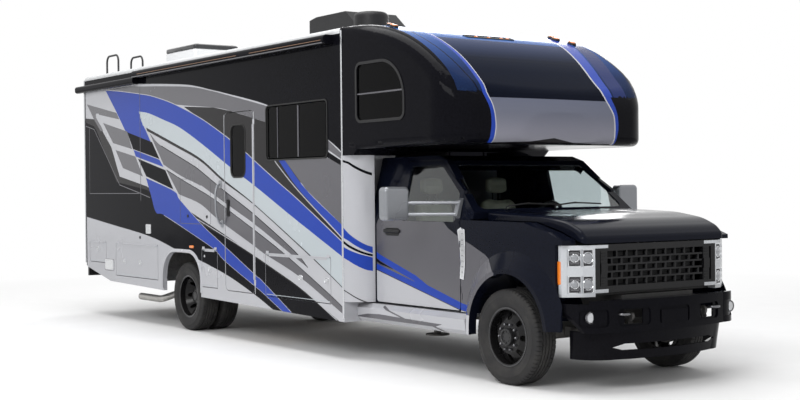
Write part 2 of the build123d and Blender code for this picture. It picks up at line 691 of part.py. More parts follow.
with BuildPart() as cab_shell:
    cross_prism(cab_section(0), (CAB_BACK_X, SCREEN_BASE[0]))
    side_prism(
        (
            (CAB_BACK_X, CAB_SILL_Z),
            (FIREWALL_X, CAB_SILL_Z),
            (FIREWALL_X, COWL_Z),
            (SCREEN_BASE[0], COWL_Z),
            SCREEN_BASE,
            SCREEN_TOP,
            (SCREEN_TOP[0] - 150, CAB_ROOF_Z),
            (CAB_BACK_X, CAB_ROOF_Z),
        ),
        (-CAB_HALF, CAB_HALF),
        mode=Mode.INTERSECT,
    )
    block(
        (CAB_BACK_X, FIREWALL_X),
        (-CAB_SILL_IN, CAB_SILL_IN),
        (CAB_SILL_Z, CAB_FLOOR_Z - CAB_FLOOR_T),
        mode=Mode.SUBTRACT,
    )
    add(cab_room.part, mode=Mode.SUBTRACT)
    extrude(screen_sketch(-150), amount=300, mode=Mode.SUBTRACT)
    # The way through to the coach
    block(
        (CAB_BACK_X - 1, CAB_BACK_X + CAB_WALL + 1),
        (-PASS_HALF, PASS_HALF),
        (CAB_FLOOR_Z, CAB_ROOF_Z - 110),
        mode=Mode.SUBTRACT,
    )
    for cutter in door_cutters:
        add(cutter, mode=Mode.SUBTRACT)
    for _, sign in SIDES:
        beside = ordered(sign * (FENDER_IN - REST), sign * (CAB_HALF + 1))
        low = (CAB_SILL_Z - 1, FENDER_TOP_Z + REST)
        block((FENDER_BACK_X - REST, FIREWALL_X + 1), beside, low, mode=Mode.SUBTRACT)
        # Hood hinge lug and pin on the cowl
        lug_y = ordered(sign * HOOD_HINGE_Y, sign * (HOOD_HINGE_Y + HOOD_LUG_T))
        lug_x = HOOD_HINGE_X + HOOD_LUG_T / 2
        block((SCREEN_BASE[0] - 10, lug_x), lug_y, (HOOD_HINGE_Z - 24, HOOD_HINGE_Z - 10))
        block((HOOD_HINGE_X - HOOD_LUG_T / 2, lug_x), lug_y, (HOOD_HINGE_Z - 24, HOOD_HINGE_Z))
        across(HOOD_HINGE_X, HOOD_HINGE_Z, 10, lug_y)
        pin_y = ordered(sign * HOOD_HINGE_Y, sign * (HOOD_HINGE_Y + 2 * HOOD_LUG_T))
        across(HOOD_HINGE_X, HOOD_HINGE_Z, HOOD_PIN_R, pin_y)
pieces["cab_shell"] = cab_shell

with BuildPart() as windshield:
    extrude(screen_sketch(-14), amount=GLASS_T)
pieces["windshield"] = windshield

for side, sign in SIDES:
    half = sign * CAB_HALF
    lean = sign * cab_side(CAB_ROOF_Z)
    y = ordered(0, sign * (CAB_HALF + 20))
    with BuildPart() as cab_door:
        cross_prism(
            (
                (half, CAB_DOOR_Z0 - 1),
                (half, BELT_Z),
                (lean, CAB_ROOF_Z),
                (lean - sign * CAB_FRAME_T, CAB_ROOF_Z),
                (half - sign * CAB_FRAME_T, BELT_Z + 40),
                (half - sign * CAB_DOOR_T, BELT_Z - 20),
                (half - sign * CAB_DOOR_T, CAB_DOOR_Z0 - 1),
            ),
            (CAB_DOOR_X[0] - 1, CAB_DOOR_X[1] + 60),
        )
        extrude(outline_face(door_outline, DOOR_CORNER_R, y[1]), amount=y[1] - y[0], mode=Mode.INTERSECT)
        extrude(outline_face(glass_outline, GLASS_CORNER_R, y[1]), amount=y[1] - y[0], mode=Mode.SUBTRACT)
        at = (CAB_DOOR_X[1] + DOOR_GAP / 2, half + sign * HINGE_OUT)
        for z in CAB_HINGE_Z:
            hinge_line("Z", at, -HINGE_LEAF, (z + REST, z + HINGE_KNUCKLE), half, sign)
    pieces[f"cab_door_{side}"] = cab_door
    with BuildPart() as door_glass:
        out, inn = -sign * 18, -sign * (18 + GLASS_T)
        cross_prism(
            (
                (half + out, BELT_Z),
                (lean + out, CAB_ROOF_Z),
                (lean + inn, CAB_ROOF_Z),
                (half + inn, BELT_Z),
            ),
            (CAB_GLASS_X[0] - 1, CAB_GLASS_X[1] + 1),
        )
        extrude(outline_face(glass_outline, GLASS_CORNER_R, y[1]), amount=y[1] - y[0], mode=Mode.INTERSECT)
    pieces[f"cab_door_glass_{side}"] = door_glass

# ------------------------------------------------------------------ mirrors on the cab doors
MIRROR_Y = (1335, 1610)
MIRROR_Z = (1430, 1740)
MIRROR_X = (AXLE_F - 1135, AXLE_F - 1035)
MIRROR_ARM_R = 16
MIRROR_ARM_Z = (1485, 1590)
MIRROR_BASE_X = (CAB_GLASS_X[1] + 10, CAB_DOOR_X[1] - 8)
for side, sign in SIDES:
    with BuildPart() as mirror_unit:
        block(MIRROR_X, ordered(sign * MIRROR_Y[0], sign * MIRROR_Y[1]), MIRROR_Z)
        fillet(mirror_unit.edges().filter_by(Axis.X), 45)
        fillet(mirror_unit.faces().sort_by(Axis.X)[-1].edges(), 30)
        base_x = (MIRROR_BASE_X[0] + MIRROR_BASE_X[1]) / 2
        head_x = (MIRROR_X[0] + MIRROR_X[1]) / 2
        for z in MIRROR_ARM_Z:
            start = Vector(base_x, sign * (cab_side(z) + 20), z)
            end = Vector(head_x, sign * (MIRROR_Y[0] + 40), z)
            with BuildSketch(Plane(origin=start, z_dir=(end - start).normalized())):
                Circle(MIRROR_ARM_R)
            extrude(amount=(end - start).length)
        foot = (MIRROR_ARM_Z[0] - 40, MIRROR_ARM_Z[1] + 40)
        cross_prism(
            (
                (sign * cab_side(foot[0]), foot[0]),
                (sign * cab_side(foot[1]), foot[1]),
                (sign * (cab_side(foot[1]) + 36), foot[1] - 20),
                (sign * (cab_side(foot[0]) + 36), foot[0] + 20),
            ),
            MIRROR_BASE_X,
        )
    pieces[f"mirror_{side}"] = mirror_unit

# ------------------------------------------------------------------ seats and dashboard
SEAT_Y = 420
SEAT_W = 520
SEAT_X = (AXLE_F - 1900, AXLE_F - 1350)
with BuildPart() as cab_seats:
    for _, sign in SIDES:
        y = (sign * SEAT_Y - SEAT_W / 2, sign * SEAT_Y + SEAT_W / 2)
        block(grown(SEAT_X, -60), grown(y, -60), (CAB_FLOOR_Z + REST, 960))
        block(SEAT_X, y, (960, 1110))
        side_prism(
            ((SEAT_X[0] - 90, 1640), (SEAT_X[0], 1040), (SEAT_X[0] + 150, 1040), (SEAT_X[0] + 40, 1640)),
            y,
        )
        side_prism(
            (
                (SEAT_X[0] - 85, 1640),
                (SEAT_X[0] + 30, 1640),
                (SEAT_X[0] + 10, 1840),
                (SEAT_X[0] - 95, 1840),
            ),
            grown(y, -120),
        )
pieces["cab_seats"] = cab_seats

DASH_X = (FIREWALL_X - 420, FIREWALL_X - CAB_WALL)
STEER_Y = 420
STEER_X = AXLE_F - 1130
STEER_Z = 1400
STEER_R = 200
STEER_BAR = 15
STEER_RAKE = math.radians(25)  # the column's slope
steer_plane = Plane(
    origin=(STEER_X, STEER_Y, STEER_Z),
    x_dir=(0, 1, 0),
    z_dir=(-math.cos(STEER_RAKE), 0, math.sin(STEER_RAKE)),
)
with BuildPart() as dashboard:
    side_prism(
        (
            (DASH_X[0], 1130),
            (DASH_X[1], 1050),
            (DASH_X[1], COWL_Z - 80),
            (DASH_X[1] - 120, COWL_Z - 25),
            (DASH_X[0] + 60, COWL_Z - 10),
            (DASH_X[0], COWL_Z - 70),
        ),
        (-FENDER_IN + CAB_WALL, FENDER_IN - CAB_WALL),
    )
    with BuildSketch(steer_plane.offset(-STEER_BAR)):
        Circle(STEER_R)
        Circle(STEER_R - 2 * STEER_BAR, mode=Mode.SUBTRACT)
    extrude(amount=2 * STEER_BAR)
    with BuildSketch(steer_plane.offset(-STEER_BAR)):
        Circle(62)
        Rectangle(2 * STEER_R - 2 * STEER_BAR, 44)
    extrude(amount=2 * STEER_BAR - 6)
    with BuildSketch(steer_plane.offset(-STEER_BAR)):
        Circle(38)
    extrude(amount=-190)
pieces["dashboard"] = dashboard

# ------------------------------------------------------------------ hood
HOOD_LINE = (
    (HOOD_BACK_X, 1510),
    (AXLE_F + 240, 1482),
    (AXLE_F + 560, 1432),
    (AXLE_F + 715, 1365),
    (HOOD_NOSE_X, 1300),
)
HOOD_EDGE = ((HOOD_NOSE_X, 1245), (AXLE_F + 500, 1350), (AXLE_F + 200, 1425), (HOOD_BACK_X, 1430))
HOOD_BENDS = (1500, 600, 200, 40)  # radius at each bend of the top line, front ones tighter
HOOD_SHOULDER_R = 42
# Creases beside the raised middle: where each starts and ends in X, its depth and its width
DOME_HALF = 430
CREASE_X = (HOOD_BACK_X, AXLE_F + 240)
CREASE_DEPTH = 15
CREASE_W = 130


def hood_top(x):
    """Height of the hood's top line at a place along it."""
    for (x0, z0), (x1, z1) in zip(HOOD_LINE, HOOD_LINE[1:]):
        if x <= x1:
            return z0 + (z1 - z0) * (x - x0) / (x1 - x0)
    return HOOD_LINE[-1][1]


with BuildPart() as hood:
    with BuildSketch(Plane.XZ.offset(-HOOD_HALF)) as hood_side:
        with BuildLine():
            Polyline(*HOOD_LINE, *HOOD_EDGE, close=True)
        make_face()
        for (x, z), radius in zip(HOOD_LINE[1:], HOOD_BENDS):
            fillet(hood_side.vertices().sort_by_distance((x, z, 0))[0], radius)
    extrude(hood_side.sketch, amount=2 * HOOD_HALF)
    for end in (hood.faces().sort_by(Axis.Y)[0], hood.faces().sort_by(Axis.Y)[-1]):
        shoulder = [
            e
            for e in end.edges()
            if e.center().X > HOOD_BACK_X + 1 and e.center().Z > hood_top(e.center().X) - 45
        ]
        fillet(shoulder, HOOD_SHOULDER_R)
    hollow = tuple((x, z - HOOD_T) for x, z in HOOD_LINE[:-1]) + (
        (HOOD_NOSE_X - HOOD_T, 1285),
        (HOOD_NOSE_X - HOOD_T, 1200),
        (HOOD_BACK_X, 1200),
    )
    hood_in = HOOD_HALF - HOOD_T
    side_prism(hollow, (-hood_in, hood_in), mode=Mode.SUBTRACT)
    for _, sign in SIDES:
        crease = []
        for n, x in enumerate(CREASE_X):
            top = hood_top(x)
            deep = CREASE_DEPTH if n == 0 else 1
            wide = CREASE_W if n == 0 else CREASE_W / 3
            with BuildSketch(Plane.YZ.offset(x - (1 if n == 0 else 0))) as cut:
                with BuildLine():
                    Polyline(
                        (sign * DOME_HALF, top + 2),
                        (sign * (DOME_HALF + deep), top - deep),
                        (sign * (DOME_HALF + wide), top + 2),
                        close=True,
                    )
                make_face()
            crease.append(cut.sketch)
        loft(crease, mode=Mode.SUBTRACT)
    for _, sign in SIDES:
        lug_y = ordered(sign * (HOOD_HINGE_Y + HOOD_LUG_T + 1), sign * (HOOD_HINGE_Y + 2 * HOOD_LUG_T))
        block((HOOD_HINGE_X - 10, HOOD_HINGE_X + 30), lug_y, (HOOD_HINGE_Z, HOOD_HINGE_Z + 28))
        across(HOOD_HINGE_X, HOOD_HINGE_Z, 2.2 * HOOD_PIN_R, lug_y)
        across(HOOD_HINGE_X, HOOD_HINGE_Z, HOOD_PIN_R + REST, grown(lug_y, 1), mode=Mode.SUBTRACT)
pieces["hood"] = hood

# ------------------------------------------------------------------ fenders
FENDER_TOP = (
    (FENDER_BACK_X, FENDER_TOP_Z),
    (AXLE_F + 200, 1417),
    (AXLE_F + 500, 1342),
    (AXLE_F + 690, 1275),
)
FENDER_LOW_Z = CAB_SILL_Z
fender_outline = (
    (FENDER_BACK_X, FENDER_LOW_Z),
    *FENDER_TOP,
    (AXLE_F + 690, LAMP_Z[1] + 6),
    (FENDER_FRONT_X, LAMP_Z[1] + 6),
    (FENDER_FRONT_X, BUMPER_Z[1] + 8),
    (AXLE_F + 300, FENDER_LOW_Z),
)
fender_hollow = (
    (FENDER_BACK_X - 1, FENDER_LOW_Z - 1),
    *((x - (1 if n == 0 else 0), z - FENDER_SKIN) for n, (x, z) in enumerate(FENDER_TOP[:-1])),
    (AXLE_F + 690 - FENDER_SKIN, 1245 - 4),
    (FENDER_FRONT_X - FENDER_SKIN, LAMP_Z[1] - 20),
    (FENDER_FRONT_X - FENDER_SKIN, BUMPER_Z[1] - 20),
    (AXLE_F + 300, FENDER_LOW_Z - 1),
)
flares = []
for _, sign in SIDES:
    with BuildPart() as flare:
        for y, r in ((CAB_HALF - 2, FLARE_SKIRT_R), (FLARE_OUT, FLARE_LIP_R)):
            with BuildSketch(Plane.XZ.offset(-sign * y)):
                with Locations((ARCH_X, ARCH_Z)):
                    Circle(r)
        loft()
        whole = ordered(sign * (CAB_HALF - 3), sign * (FLARE_OUT + 1))
        across(ARCH_X, ARCH_Z, ARCH_R, whole, mode=Mode.SUBTRACT)
        block((ARCH_X - ARCH_R, ARCH_X + ARCH_R), whole, (-300, ARCH_Z), mode=Mode.SUBTRACT)
        block((ARCH_X, ARCH_X + 2 * ARCH_R), whole, (-300, FLARE_FOOT_Z), mode=Mode.SUBTRACT)
        block((FLARE_X[0], FLARE_X[1]), whole, (FLARE_REAR_Z, ARCH_Z + 800), mode=Mode.INTERSECT)
    flares.append(flare.part)
with BuildPart() as front_fenders:
    for n, (_, sign) in enumerate(SIDES):
        side_prism(fender_outline, ordered(sign * FENDER_IN, sign * CAB_HALF))
        hollow_y = ordered(sign * (FENDER_IN - 1), sign * (CAB_HALF - FENDER_SKIN))
        side_prism(fender_hollow, hollow_y, mode=Mode.SUBTRACT)
        liner_y = ordered(sign * LINER_IN, sign * (CAB_HALF - 1))
        across(ARCH_X, ARCH_Z, LINER_R, liner_y)
        open_y = ordered(sign * (LINER_IN - 1), sign * (FLARE_OUT + 1))
        across(ARCH_X, ARCH_Z, ARCH_R, open_y, mode=Mode.SUBTRACT)
        under = ordered(sign * (LINER_IN - 1), sign * (FLARE_OUT + 1))
        block(
            (ARCH_X - 2 * ARCH_R, ARCH_X + 2 * ARCH_R),
            under,
            (-200, FENDER_LOW_Z),
            mode=Mode.SUBTRACT,
        )
        inner_y = ordered(sign * (LINER_IN - 1), sign * (CAB_HALF - FENDER_SKIN))
        across(ARCH_X, ARCH_Z, LINER_R - LINER_T, inner_y, mode=Mode.SUBTRACT)
        add(flares[n])
        at = (CAB_DOOR_X[1] + DOOR_GAP / 2, sign * (CAB_HALF + HINGE_OUT))
        for z in CAB_HINGE_Z:
            hinge_line("Z", at, HINGE_LEAF, (z - HINGE_KNUCKLE, z), sign * CAB_HALF, sign)
pieces["front_fenders"] = front_fenders

# ------------------------------------------------------------------ grille, lamps, bumper
GRILLE_RIM = 55
GRILLE_ROWS = 5
GRILLE_BAR = 16
GRILLE_PITCH = 118
GRILLE_END_Y = (590, 665)  # solid block at each end of the mesh
LAMP_ARM_IN = 590
LAMP_ARM_H = 30
grille_y = (-GRILLE_HALF, GRILLE_HALF)
with BuildPart() as grille:
    block(GRILLE_X, grille_y, GRILLE_Z)
    block(
        grown(GRILLE_X, 1),
        grown(grille_y, -GRILLE_RIM),
        grown(GRILLE_Z, -GRILLE_RIM),
        mode=Mode.SUBTRACT,
    )
    row_h = (GRILLE_Z[1] - GRILLE_Z[0] - 2 * GRILLE_RIM) / GRILLE_ROWS
    bars_x = (GRILLE_X[0] + 8, GRILLE_X[1] - 14)
    for row in range(1, GRILLE_ROWS):
        z = GRILLE_Z[0] + GRILLE_RIM + row * row_h
        block(bars_x, grown(grille_y, -GRILLE_RIM), (z - GRILLE_BAR / 2, z + GRILLE_BAR / 2))
    for row in range(GRILLE_ROWS):
        low = GRILLE_Z[0] + GRILLE_RIM + row * row_h
        shift = GRILLE_PITCH / 2 if row % 2 else 0
        count = int((GRILLE_HALF - GRILLE_RIM - shift) // GRILLE_PITCH)
        for n in range(-count - (1 if shift else 0), count + 1):
            y = n * GRILLE_PITCH + shift
            block(bars_x, (y - GRILLE_BAR / 2, y + GRILLE_BAR / 2), (low, low + row_h))
    for _, sign in SIDES:
        end_y = ordered(sign * GRILLE_END_Y[0], sign * GRILLE_END_Y[1])
        block((bars_x[0], bars_x[1] + 6), end_y, grown(GRILLE_Z, -GRILLE_RIM))
        mid_z = (GRILLE_Z[0] + GRILLE_Z[1]) / 2
        block((bars_x[0], GRILLE_X[1]), end_y, (mid_z - 44, mid_z + 44))
        # Notches for the lamps' arms over and under the end blocks
        arm_y = ordered(sign * (LAMP_ARM_IN - 2), sign * (GRILLE_HALF + 1))
        for z in ((GRILLE_Z[0] - 1, GRILLE_Z[0] + LAMP_ARM_H + 2), (GRILLE_Z[1] - LAMP_ARM_H - 2, GRILLE_Z[1] + 1)):
            block((GRILLE_X[1] - 32, GRILLE_X[1] + 1), arm_y, z, mode=Mode.SUBTRACT)
pieces["grille"] = grille

LAMP_BACK_X = AXLE_F + 606
LAMP_DEPTH = 90
LAMP_RIM = 34
LAMP_RECESS = 16
LAMP_LENS_Y = (905, 815)  # outer and inner lens of each module
LAMP_LENS_R = (30, 48)
LAMP_MID_BAR = 40
LAMP_KNEE = (35, 110)  # where the lamp turns to the side: behind and outside the grille's end


def lamp_x(y):
    """Front of the lamp at a distance out from the middle."""
    knee_y, knee_x = GRILLE_HALF + LAMP_KNEE[1], GRILLE_X[1] - LAMP_KNEE[0]
    if y > knee_y:
        return knee_x - (y - knee_y) * (knee_x - LAMP_BACK_X - 40) / (LAMP_OUT - knee_y)
    return knee_x + (knee_y - y) * LAMP_KNEE[0] / LAMP_KNEE[1]


with BuildPart() as headlamps:
    lamp_mid = (LAMP_Z[0] + LAMP_Z[1]) / 2
    modules = ((LAMP_Z[0] + LAMP_RIM, lamp_mid - LAMP_MID_BAR), (lamp_mid + LAMP_MID_BAR, LAMP_Z[1] - LAMP_RIM))
    for _, sign in SIDES:
        plan_prism(
            (
                (LAMP_BACK_X, sign * (LAMP_OUT - 30)),
                (LAMP_BACK_X, sign * LAMP_OUT),
                *((lamp_x(y), sign * y) for y in (LAMP_OUT, GRILLE_HALF + LAMP_KNEE[1], GRILLE_HALF)),
                (GRILLE_X[1] - LAMP_DEPTH, sign * GRILLE_HALF),
                (GRILLE_X[1] - LAMP_DEPTH, sign * (GRILLE_HALF + 90)),
            ),
            LAMP_Z,
        )
        # The two lens modules, set back behind the bright C-shaped surround
        across_lamp = (LAMP_OUT - LAMP_RIM, GRILLE_HALF + LAMP_KNEE[1], GRILLE_HALF + 12)
        for z in modules:
            recess = [(lamp_x(y) + 2, sign * y) for y in across_lamp]
            recess += [(lamp_x(y) - LAMP_RECESS, sign * y) for y in reversed(across_lamp)]
            plan_prism(recess, z, mode=Mode.SUBTRACT)
            for y, r in zip(LAMP_LENS_Y, LAMP_LENS_R):
                lens_x = (lamp_x(y + r) - LAMP_RECESS, lamp_x(y + r) - 2)
                lengthwise(sign * y, (z[0] + z[1]) / 2, r, lens_x)
        arm_y = ordered(sign * LAMP_ARM_IN, sign * (GRILLE_HALF + 1))
        for z in ((GRILLE_Z[0], GRILLE_Z[0] + LAMP_ARM_H), (GRILLE_Z[1] - LAMP_ARM_H, LAMP_Z[1])):
            block((GRILLE_X[1] - 30, GRILLE_X[1] + 6), arm_y, z)
pieces["headlamps"] = headlamps

# Radiator and the panel that carries the grille and lamps, standing on the rail ends
SUPPORT_T = 20
support_x = (GRILLE_X[1] - LAMP_DEPTH - SUPPORT_T, GRILLE_X[1] - LAMP_DEPTH)
support_half = GRILLE_HALF + 85
with BuildPart() as front_support:
    block(support_x, (-support_half, support_half), (RAIL_Z1, GRILLE_Z[1]))
    block(
        grown(support_x, 1),
        (-GRILLE_HALF + GRILLE_RIM, GRILLE_HALF - GRILLE_RIM),
        (GRILLE_Z[0], GRILLE_Z[1] - 40),
        mode=Mode.SUBTRACT,
    )
    for _, sign in SIDES:
        pad = ordered(sign * (GRILLE_HALF - GRILLE_RIM), sign * (GRILLE_HALF - 1))
        block((support_x[1], GRILLE_X[0]), pad, GRILLE_Z)
    block((support_x[0] - 70, support_x[0]), (-560, 560), (RAIL_Z1, GRILLE_Z[1] - 30))
pieces["front_support"] = front_support

BUMPER_END_X = AXLE_F + 632
BUMPER_SHOULDER = 700
VALANCE_END_X = AXLE_F + 567
SLOT_Z = (345, 402)
# Pockets in the bumper's face on both sides: middle Y, half width, depth
POCKET_Z = (556, 700)
POCKETS = ((812, 118, 14), (HOOK_Y, 165, 12), (0, 182, 12))
FOG_R = 44
PLATE_HALF = 160
PLATE_Z = (512, 672)


def bumper_face(z, inset, narrower=0, end_x=BUMPER_END_X):
    """Closed bumper outline at a height: a bowed face, corners swept back to the fenders."""
    front = BUMPER_FRONT_X - inset
    shoulder_x = front - 85
    half = BUMPER_HALF - inset - narrower
    shoulder = BUMPER_SHOULDER - inset - narrower / 2
    with BuildSketch(Plane.XY.offset(z)) as face:
        with BuildLine():
            ThreePointArc((shoulder_x, -shoulder), (front, 0), (shoulder_x, shoulder))
            ThreePointArc(
                (shoulder_x, shoulder),
                ((shoulder_x + end_x) / 2 + 62, (shoulder + half) / 2 + 48),
                (end_x, half),
            )
            Line((end_x, half), (end_x, -half))
            ThreePointArc(
                (end_x, -half),
                ((shoulder_x + end_x) / 2 + 62, -(shoulder + half) / 2 - 48),
                (shoulder_x, -shoulder),
            )
        make_face()
    return face.sketch


pocket_cutters = []
for y_mid, half, depth in POCKETS:
    with BuildPart() as pocket:
        extrude(bumper_face(POCKET_Z[0], -2), amount=POCKET_Z[1] - POCKET_Z[0])
        deep_face = bumper_face(POCKET_Z[0] - 1, depth)
        extrude(deep_face, amount=POCKET_Z[1] - POCKET_Z[0] + 2, mode=Mode.SUBTRACT)
        with BuildSketch(Plane.YZ.offset(BUMPER_END_X)) as zone:
            with Locations((y_mid, sum(POCKET_Z) / 2), (-y_mid, sum(POCKET_Z) / 2)):
                RectangleRounded(2 * half, POCKET_Z[1] - POCKET_Z[0], 34)
        extrude(zone.sketch, amount=500, mode=Mode.INTERSECT)
    pocket_cutters.append(pocket.part)

with BuildPart() as front_bumper:
    extrude(bumper_face(BUMPER_Z[0], 0), amount=BUMPER_Z[1] - BUMPER_Z[0])
    extrude(
        bumper_face(BUMPER_Z[0] - 1, BUMPER_T),
        amount=BUMPER_Z[1] - BUMPER_Z[0] - BUMPER_T + 1,
        mode=Mode.SUBTRACT,
    )
    block(
        (AXLE_F + 600, RAIL_FRONT_X + 60),
        (-BUMPER_HALF, BUMPER_HALF),
        (BUMPER_Z[1] - BUMPER_T - 1, BUMPER_Z[1] + 1),
        mode=Mode.SUBTRACT,
    )
    for cutter in pocket_cutters:
        add(cutter, mode=Mode.SUBTRACT)
    for _, sign in SIDES:
        # The lower corners slope inwards
        edge = sign * BUMPER_HALF
        cross_prism(
            ((edge + sign * 2, 690), (edge + sign * 2, BUMPER_Z[0] - 1), (edge - sign * 92, BUMPER_Z[0] - 1)),
            (BUMPER_END_X - 5, BUMPER_FRONT_X),
            mode=Mode.SUBTRACT,
        )
        # Recesses for the tow hooks
        hook_y = ordered(sign * (HOOK_Y - 95), sign * (HOOK_Y + 95))
        block((HOOK_X, BUMPER_FRONT_X + 10), hook_y, (HOOK_Z - 60, HOOK_Z + 62), mode=Mode.SUBTRACT)
        # Fog lamps in the outer pockets
        lengthwise(sign * (POCKETS[0][0] + 40), sum(POCKET_Z) / 2 + 8, FOG_R, (AXLE_F + 812, AXLE_F + 852))
        # Mounting arms from the rail ends
        arm = ordered(sign * (RAIL_OUT - RAIL_FLANGE), sign * (RAIL_OUT - 5))
        block((RAIL_FRONT_X, BUMPER_FRONT_X - 60), arm, (RAIL_Z1 - 95, RAIL_Z1 - 50))
    # Bare plate bracket
    block((BUMPER_FRONT_X - 20, BUMPER_FRONT_X - 4), (-PLATE_HALF, PLATE_HALF), PLATE_Z)
pieces["front_bumper"] = front_bumper

# Valance: (height, inset, narrower) of its lower and upper edge, ends upright
VALANCE_LOW = (VALANCE_Z0, 60, BUMPER_HALF - VALANCE_HALF - 60)
VALANCE_HIGH = (BUMPER_Z[0], 8, BUMPER_HALF - VALANCE_HALF - 8)
with BuildPart() as front_valance:
    loft([bumper_face(*level, VALANCE_END_X) for level in (VALANCE_LOW, VALANCE_HIGH)])
    inner_levels = [
        (z + (1 if z == BUMPER_Z[0] else -1), inset + BUMPER_T, narrower)
        for z, inset, narrower in (VALANCE_LOW, VALANCE_HIGH)
    ]
    loft([bumper_face(*level, VALANCE_END_X) for level in inner_levels], mode=Mode.SUBTRACT)
    slot_mid = sum(SLOT_Z) / 2
    cross_prism(
        (
            (-VALANCE_HALF + 210, slot_mid),
            (-VALANCE_HALF + 320, SLOT_Z[0]),
            (VALANCE_HALF - 320, SLOT_Z[0]),
            (VALANCE_HALF - 210, slot_mid),
            (VALANCE_HALF - 320, SLOT_Z[1]),
            (-VALANCE_HALF + 320, SLOT_Z[1]),
        ),
        (AXLE_F + 800, BUMPER_FRONT_X + 5),
        mode=Mode.SUBTRACT,
    )
pieces["front_valance"] = front_valance

# ------------------------------------------------------------------ running boards, surround
BOARD_X = (COACH_FRONT_X + 5, FLARE_X[0] - 5)
BOARD_Z = (395, CAB_SILL_Z - 10)
BOARD_OUT = 1110
with BuildPart() as running_boards:
    for _, sign in SIDES:
        section = (
            (sign * (CAB_SILL_IN + 10), BOARD_Z[1]),
            (sign * (CAB_HALF + 30), BOARD_Z[1]),
            (sign * BOARD_OUT, BOARD_Z[1] - 45),
            (sign * (BOARD_OUT - 12), BOARD_Z[0] + 40),
            (sign * (BOARD_OUT - 50), BOARD_Z[0]),
            (sign * (BOARD_OUT - 75), BOARD_Z[0]),
            (sign * (BOARD_OUT - 40), BOARD_Z[0] + 50),
            (sign * (BOARD_OUT - 40), BOARD_Z[1] - 60),
            (sign * (CAB_HALF + 10), BOARD_Z[1] - 25),
            (sign * (CAB_SILL_IN + 10), BOARD_Z[1] - 25),
        )
        cross_prism(section, BOARD_X)
        for x in (BOARD_X[0] + 400, BOARD_X[1] - 400):
            foot = ordered(sign * (CAB_SILL_IN + 20), sign * (CAB_SILL_IN + 80))
            block((x, x + 60), foot, (BOARD_Z[1] - 5, CAB_SILL_Z))
pieces["running_boards"] = running_boards

FAIRING_T = 14
FAIRING_Z0 = CAB_SILL_Z + 2
fairing_end = (CAB_DOOR_X[0] - DOOR_GAP - 20, CAB_HALF + REST)
with BuildPart() as cab_surround:
    # Bulkhead: the coach's front wall round the cab's back
    block(
        (COACH_FRONT_X - BULKHEAD_T, COACH_FRONT_X),
        (-HALF, HALF),
        (SKIRT_FRONT_Z, CAP_BACK_Z),
    )
    block(
        (COACH_FRONT_X - BULKHEAD_T - 1, COACH_FRONT_X + 1),
        (-PASS_HALF, PASS_HALF),
        (FLOOR_Z1, CAP_BACK_Z + 1),
        mode=Mode.SUBTRACT,
    )
    block(
        (COACH_FRONT_X - BULKHEAD_T - 1, COACH_FRONT_X + 1),
        (-BEARER_HALF, BEARER_HALF),
        (SKIRT_FRONT_Z - 1, FLOOR_Z0),
        mode=Mode.SUBTRACT,
    )
    # Gasket between the bulkhead and the cab's back, round the way through
    block((COACH_FRONT_X, CAB_BACK_X), (-PASS_HALF - 60, PASS_HALF + 60), (FLOOR_Z1 - 60, 1990))
    block(
        (COACH_FRONT_X - 1, CAB_BACK_X + 1),
        (-PASS_HALF, PASS_HALF),
        (FLOOR_Z1, 1930),
        mode=Mode.SUBTRACT,
    )
    for _, sign in SIDES:
        outer_start = (COACH_FRONT_X, sign * HALF)
        outer_end = (fairing_end[0], sign * fairing_end[1])
        inner_start = (COACH_FRONT_X, sign * (HALF - FAIRING_T))
        inner_end = (fairing_end[0] - FAIRING_T, sign * fairing_end[1])
        bulge = 0.62
        mid_x = COACH_FRONT_X + bulge * (fairing_end[0] - COACH_FRONT_X)
        mid_y = HALF - (1 - bulge) * (HALF - fairing_end[1])
        with BuildSketch(Plane.XY.offset(FAIRING_Z0)):
            with BuildLine():
                ThreePointArc(outer_start, (mid_x, sign * mid_y), outer_end)
                Line(outer_end, inner_end)
                ThreePointArc(
                    inner_end, (mid_x - FAIRING_T * 0.7, sign * (mid_y - FAIRING_T * 0.7)), inner_start
                )
                Line(inner_start, outer_start)
            make_face()
        extrude(amount=CAP_BACK_Z - FAIRING_Z0)
pieces["cab_surround"] = cab_surround

# ------------------------------------------------------------------ coach floor and walls
STEP_DEPTH = 560
STEP_T = 25
STEP_Z = ENTRY_Z[0] + 12
with BuildPart() as coach_floor:
    block(
        (COACH_REAR_X + REAR_WALL_T, COACH_FRONT_X - BULKHEAD_T),
        (-HALF + WALL, HALF - WALL),
        (FLOOR_Z0, FLOOR_Z1),
    )
    # Step well inside the entry door
    well_y = (-HALF + WALL, -HALF + WALL + STEP_DEPTH)
    block(grown(ENTRY_X, 30), (well_y[0], well_y[1] + STEP_T), (STEP_Z - STEP_T, FLOOR_Z0))
    block(grown(ENTRY_X, 30 - STEP_T), (well_y[0] - 1, well_y[1]), (STEP_Z, FLOOR_Z1 + 1), mode=Mode.SUBTRACT)
    step_mid = (STEP_Z + FLOOR_Z1) / 2
    step_y = (well_y[1] - STEP_DEPTH / 2, well_y[1])
    block(grown(ENTRY_X, 30 - STEP_T), step_y, (STEP_Z, step_mid))
pieces["coach_floor"] = coach_floor


def skirt_z(x):
    """Height of the side wall's bottom edge: a slight fall forwards, a rise at the tail."""
    if x < SKIRT_REAR_X:
        share = (x - COACH_REAR_X) / (SKIRT_REAR_X - COACH_REAR_X)
        return TAIL_Z + share * (SKIRT_REAR_Z - TAIL_Z)
    share = (x - SKIRT_REAR_X) / (COACH_FRONT_X - SKIRT_REAR_X)
    return SKIRT_REAR_Z + share * (SKIRT_FRONT_Z - SKIRT_REAR_Z)


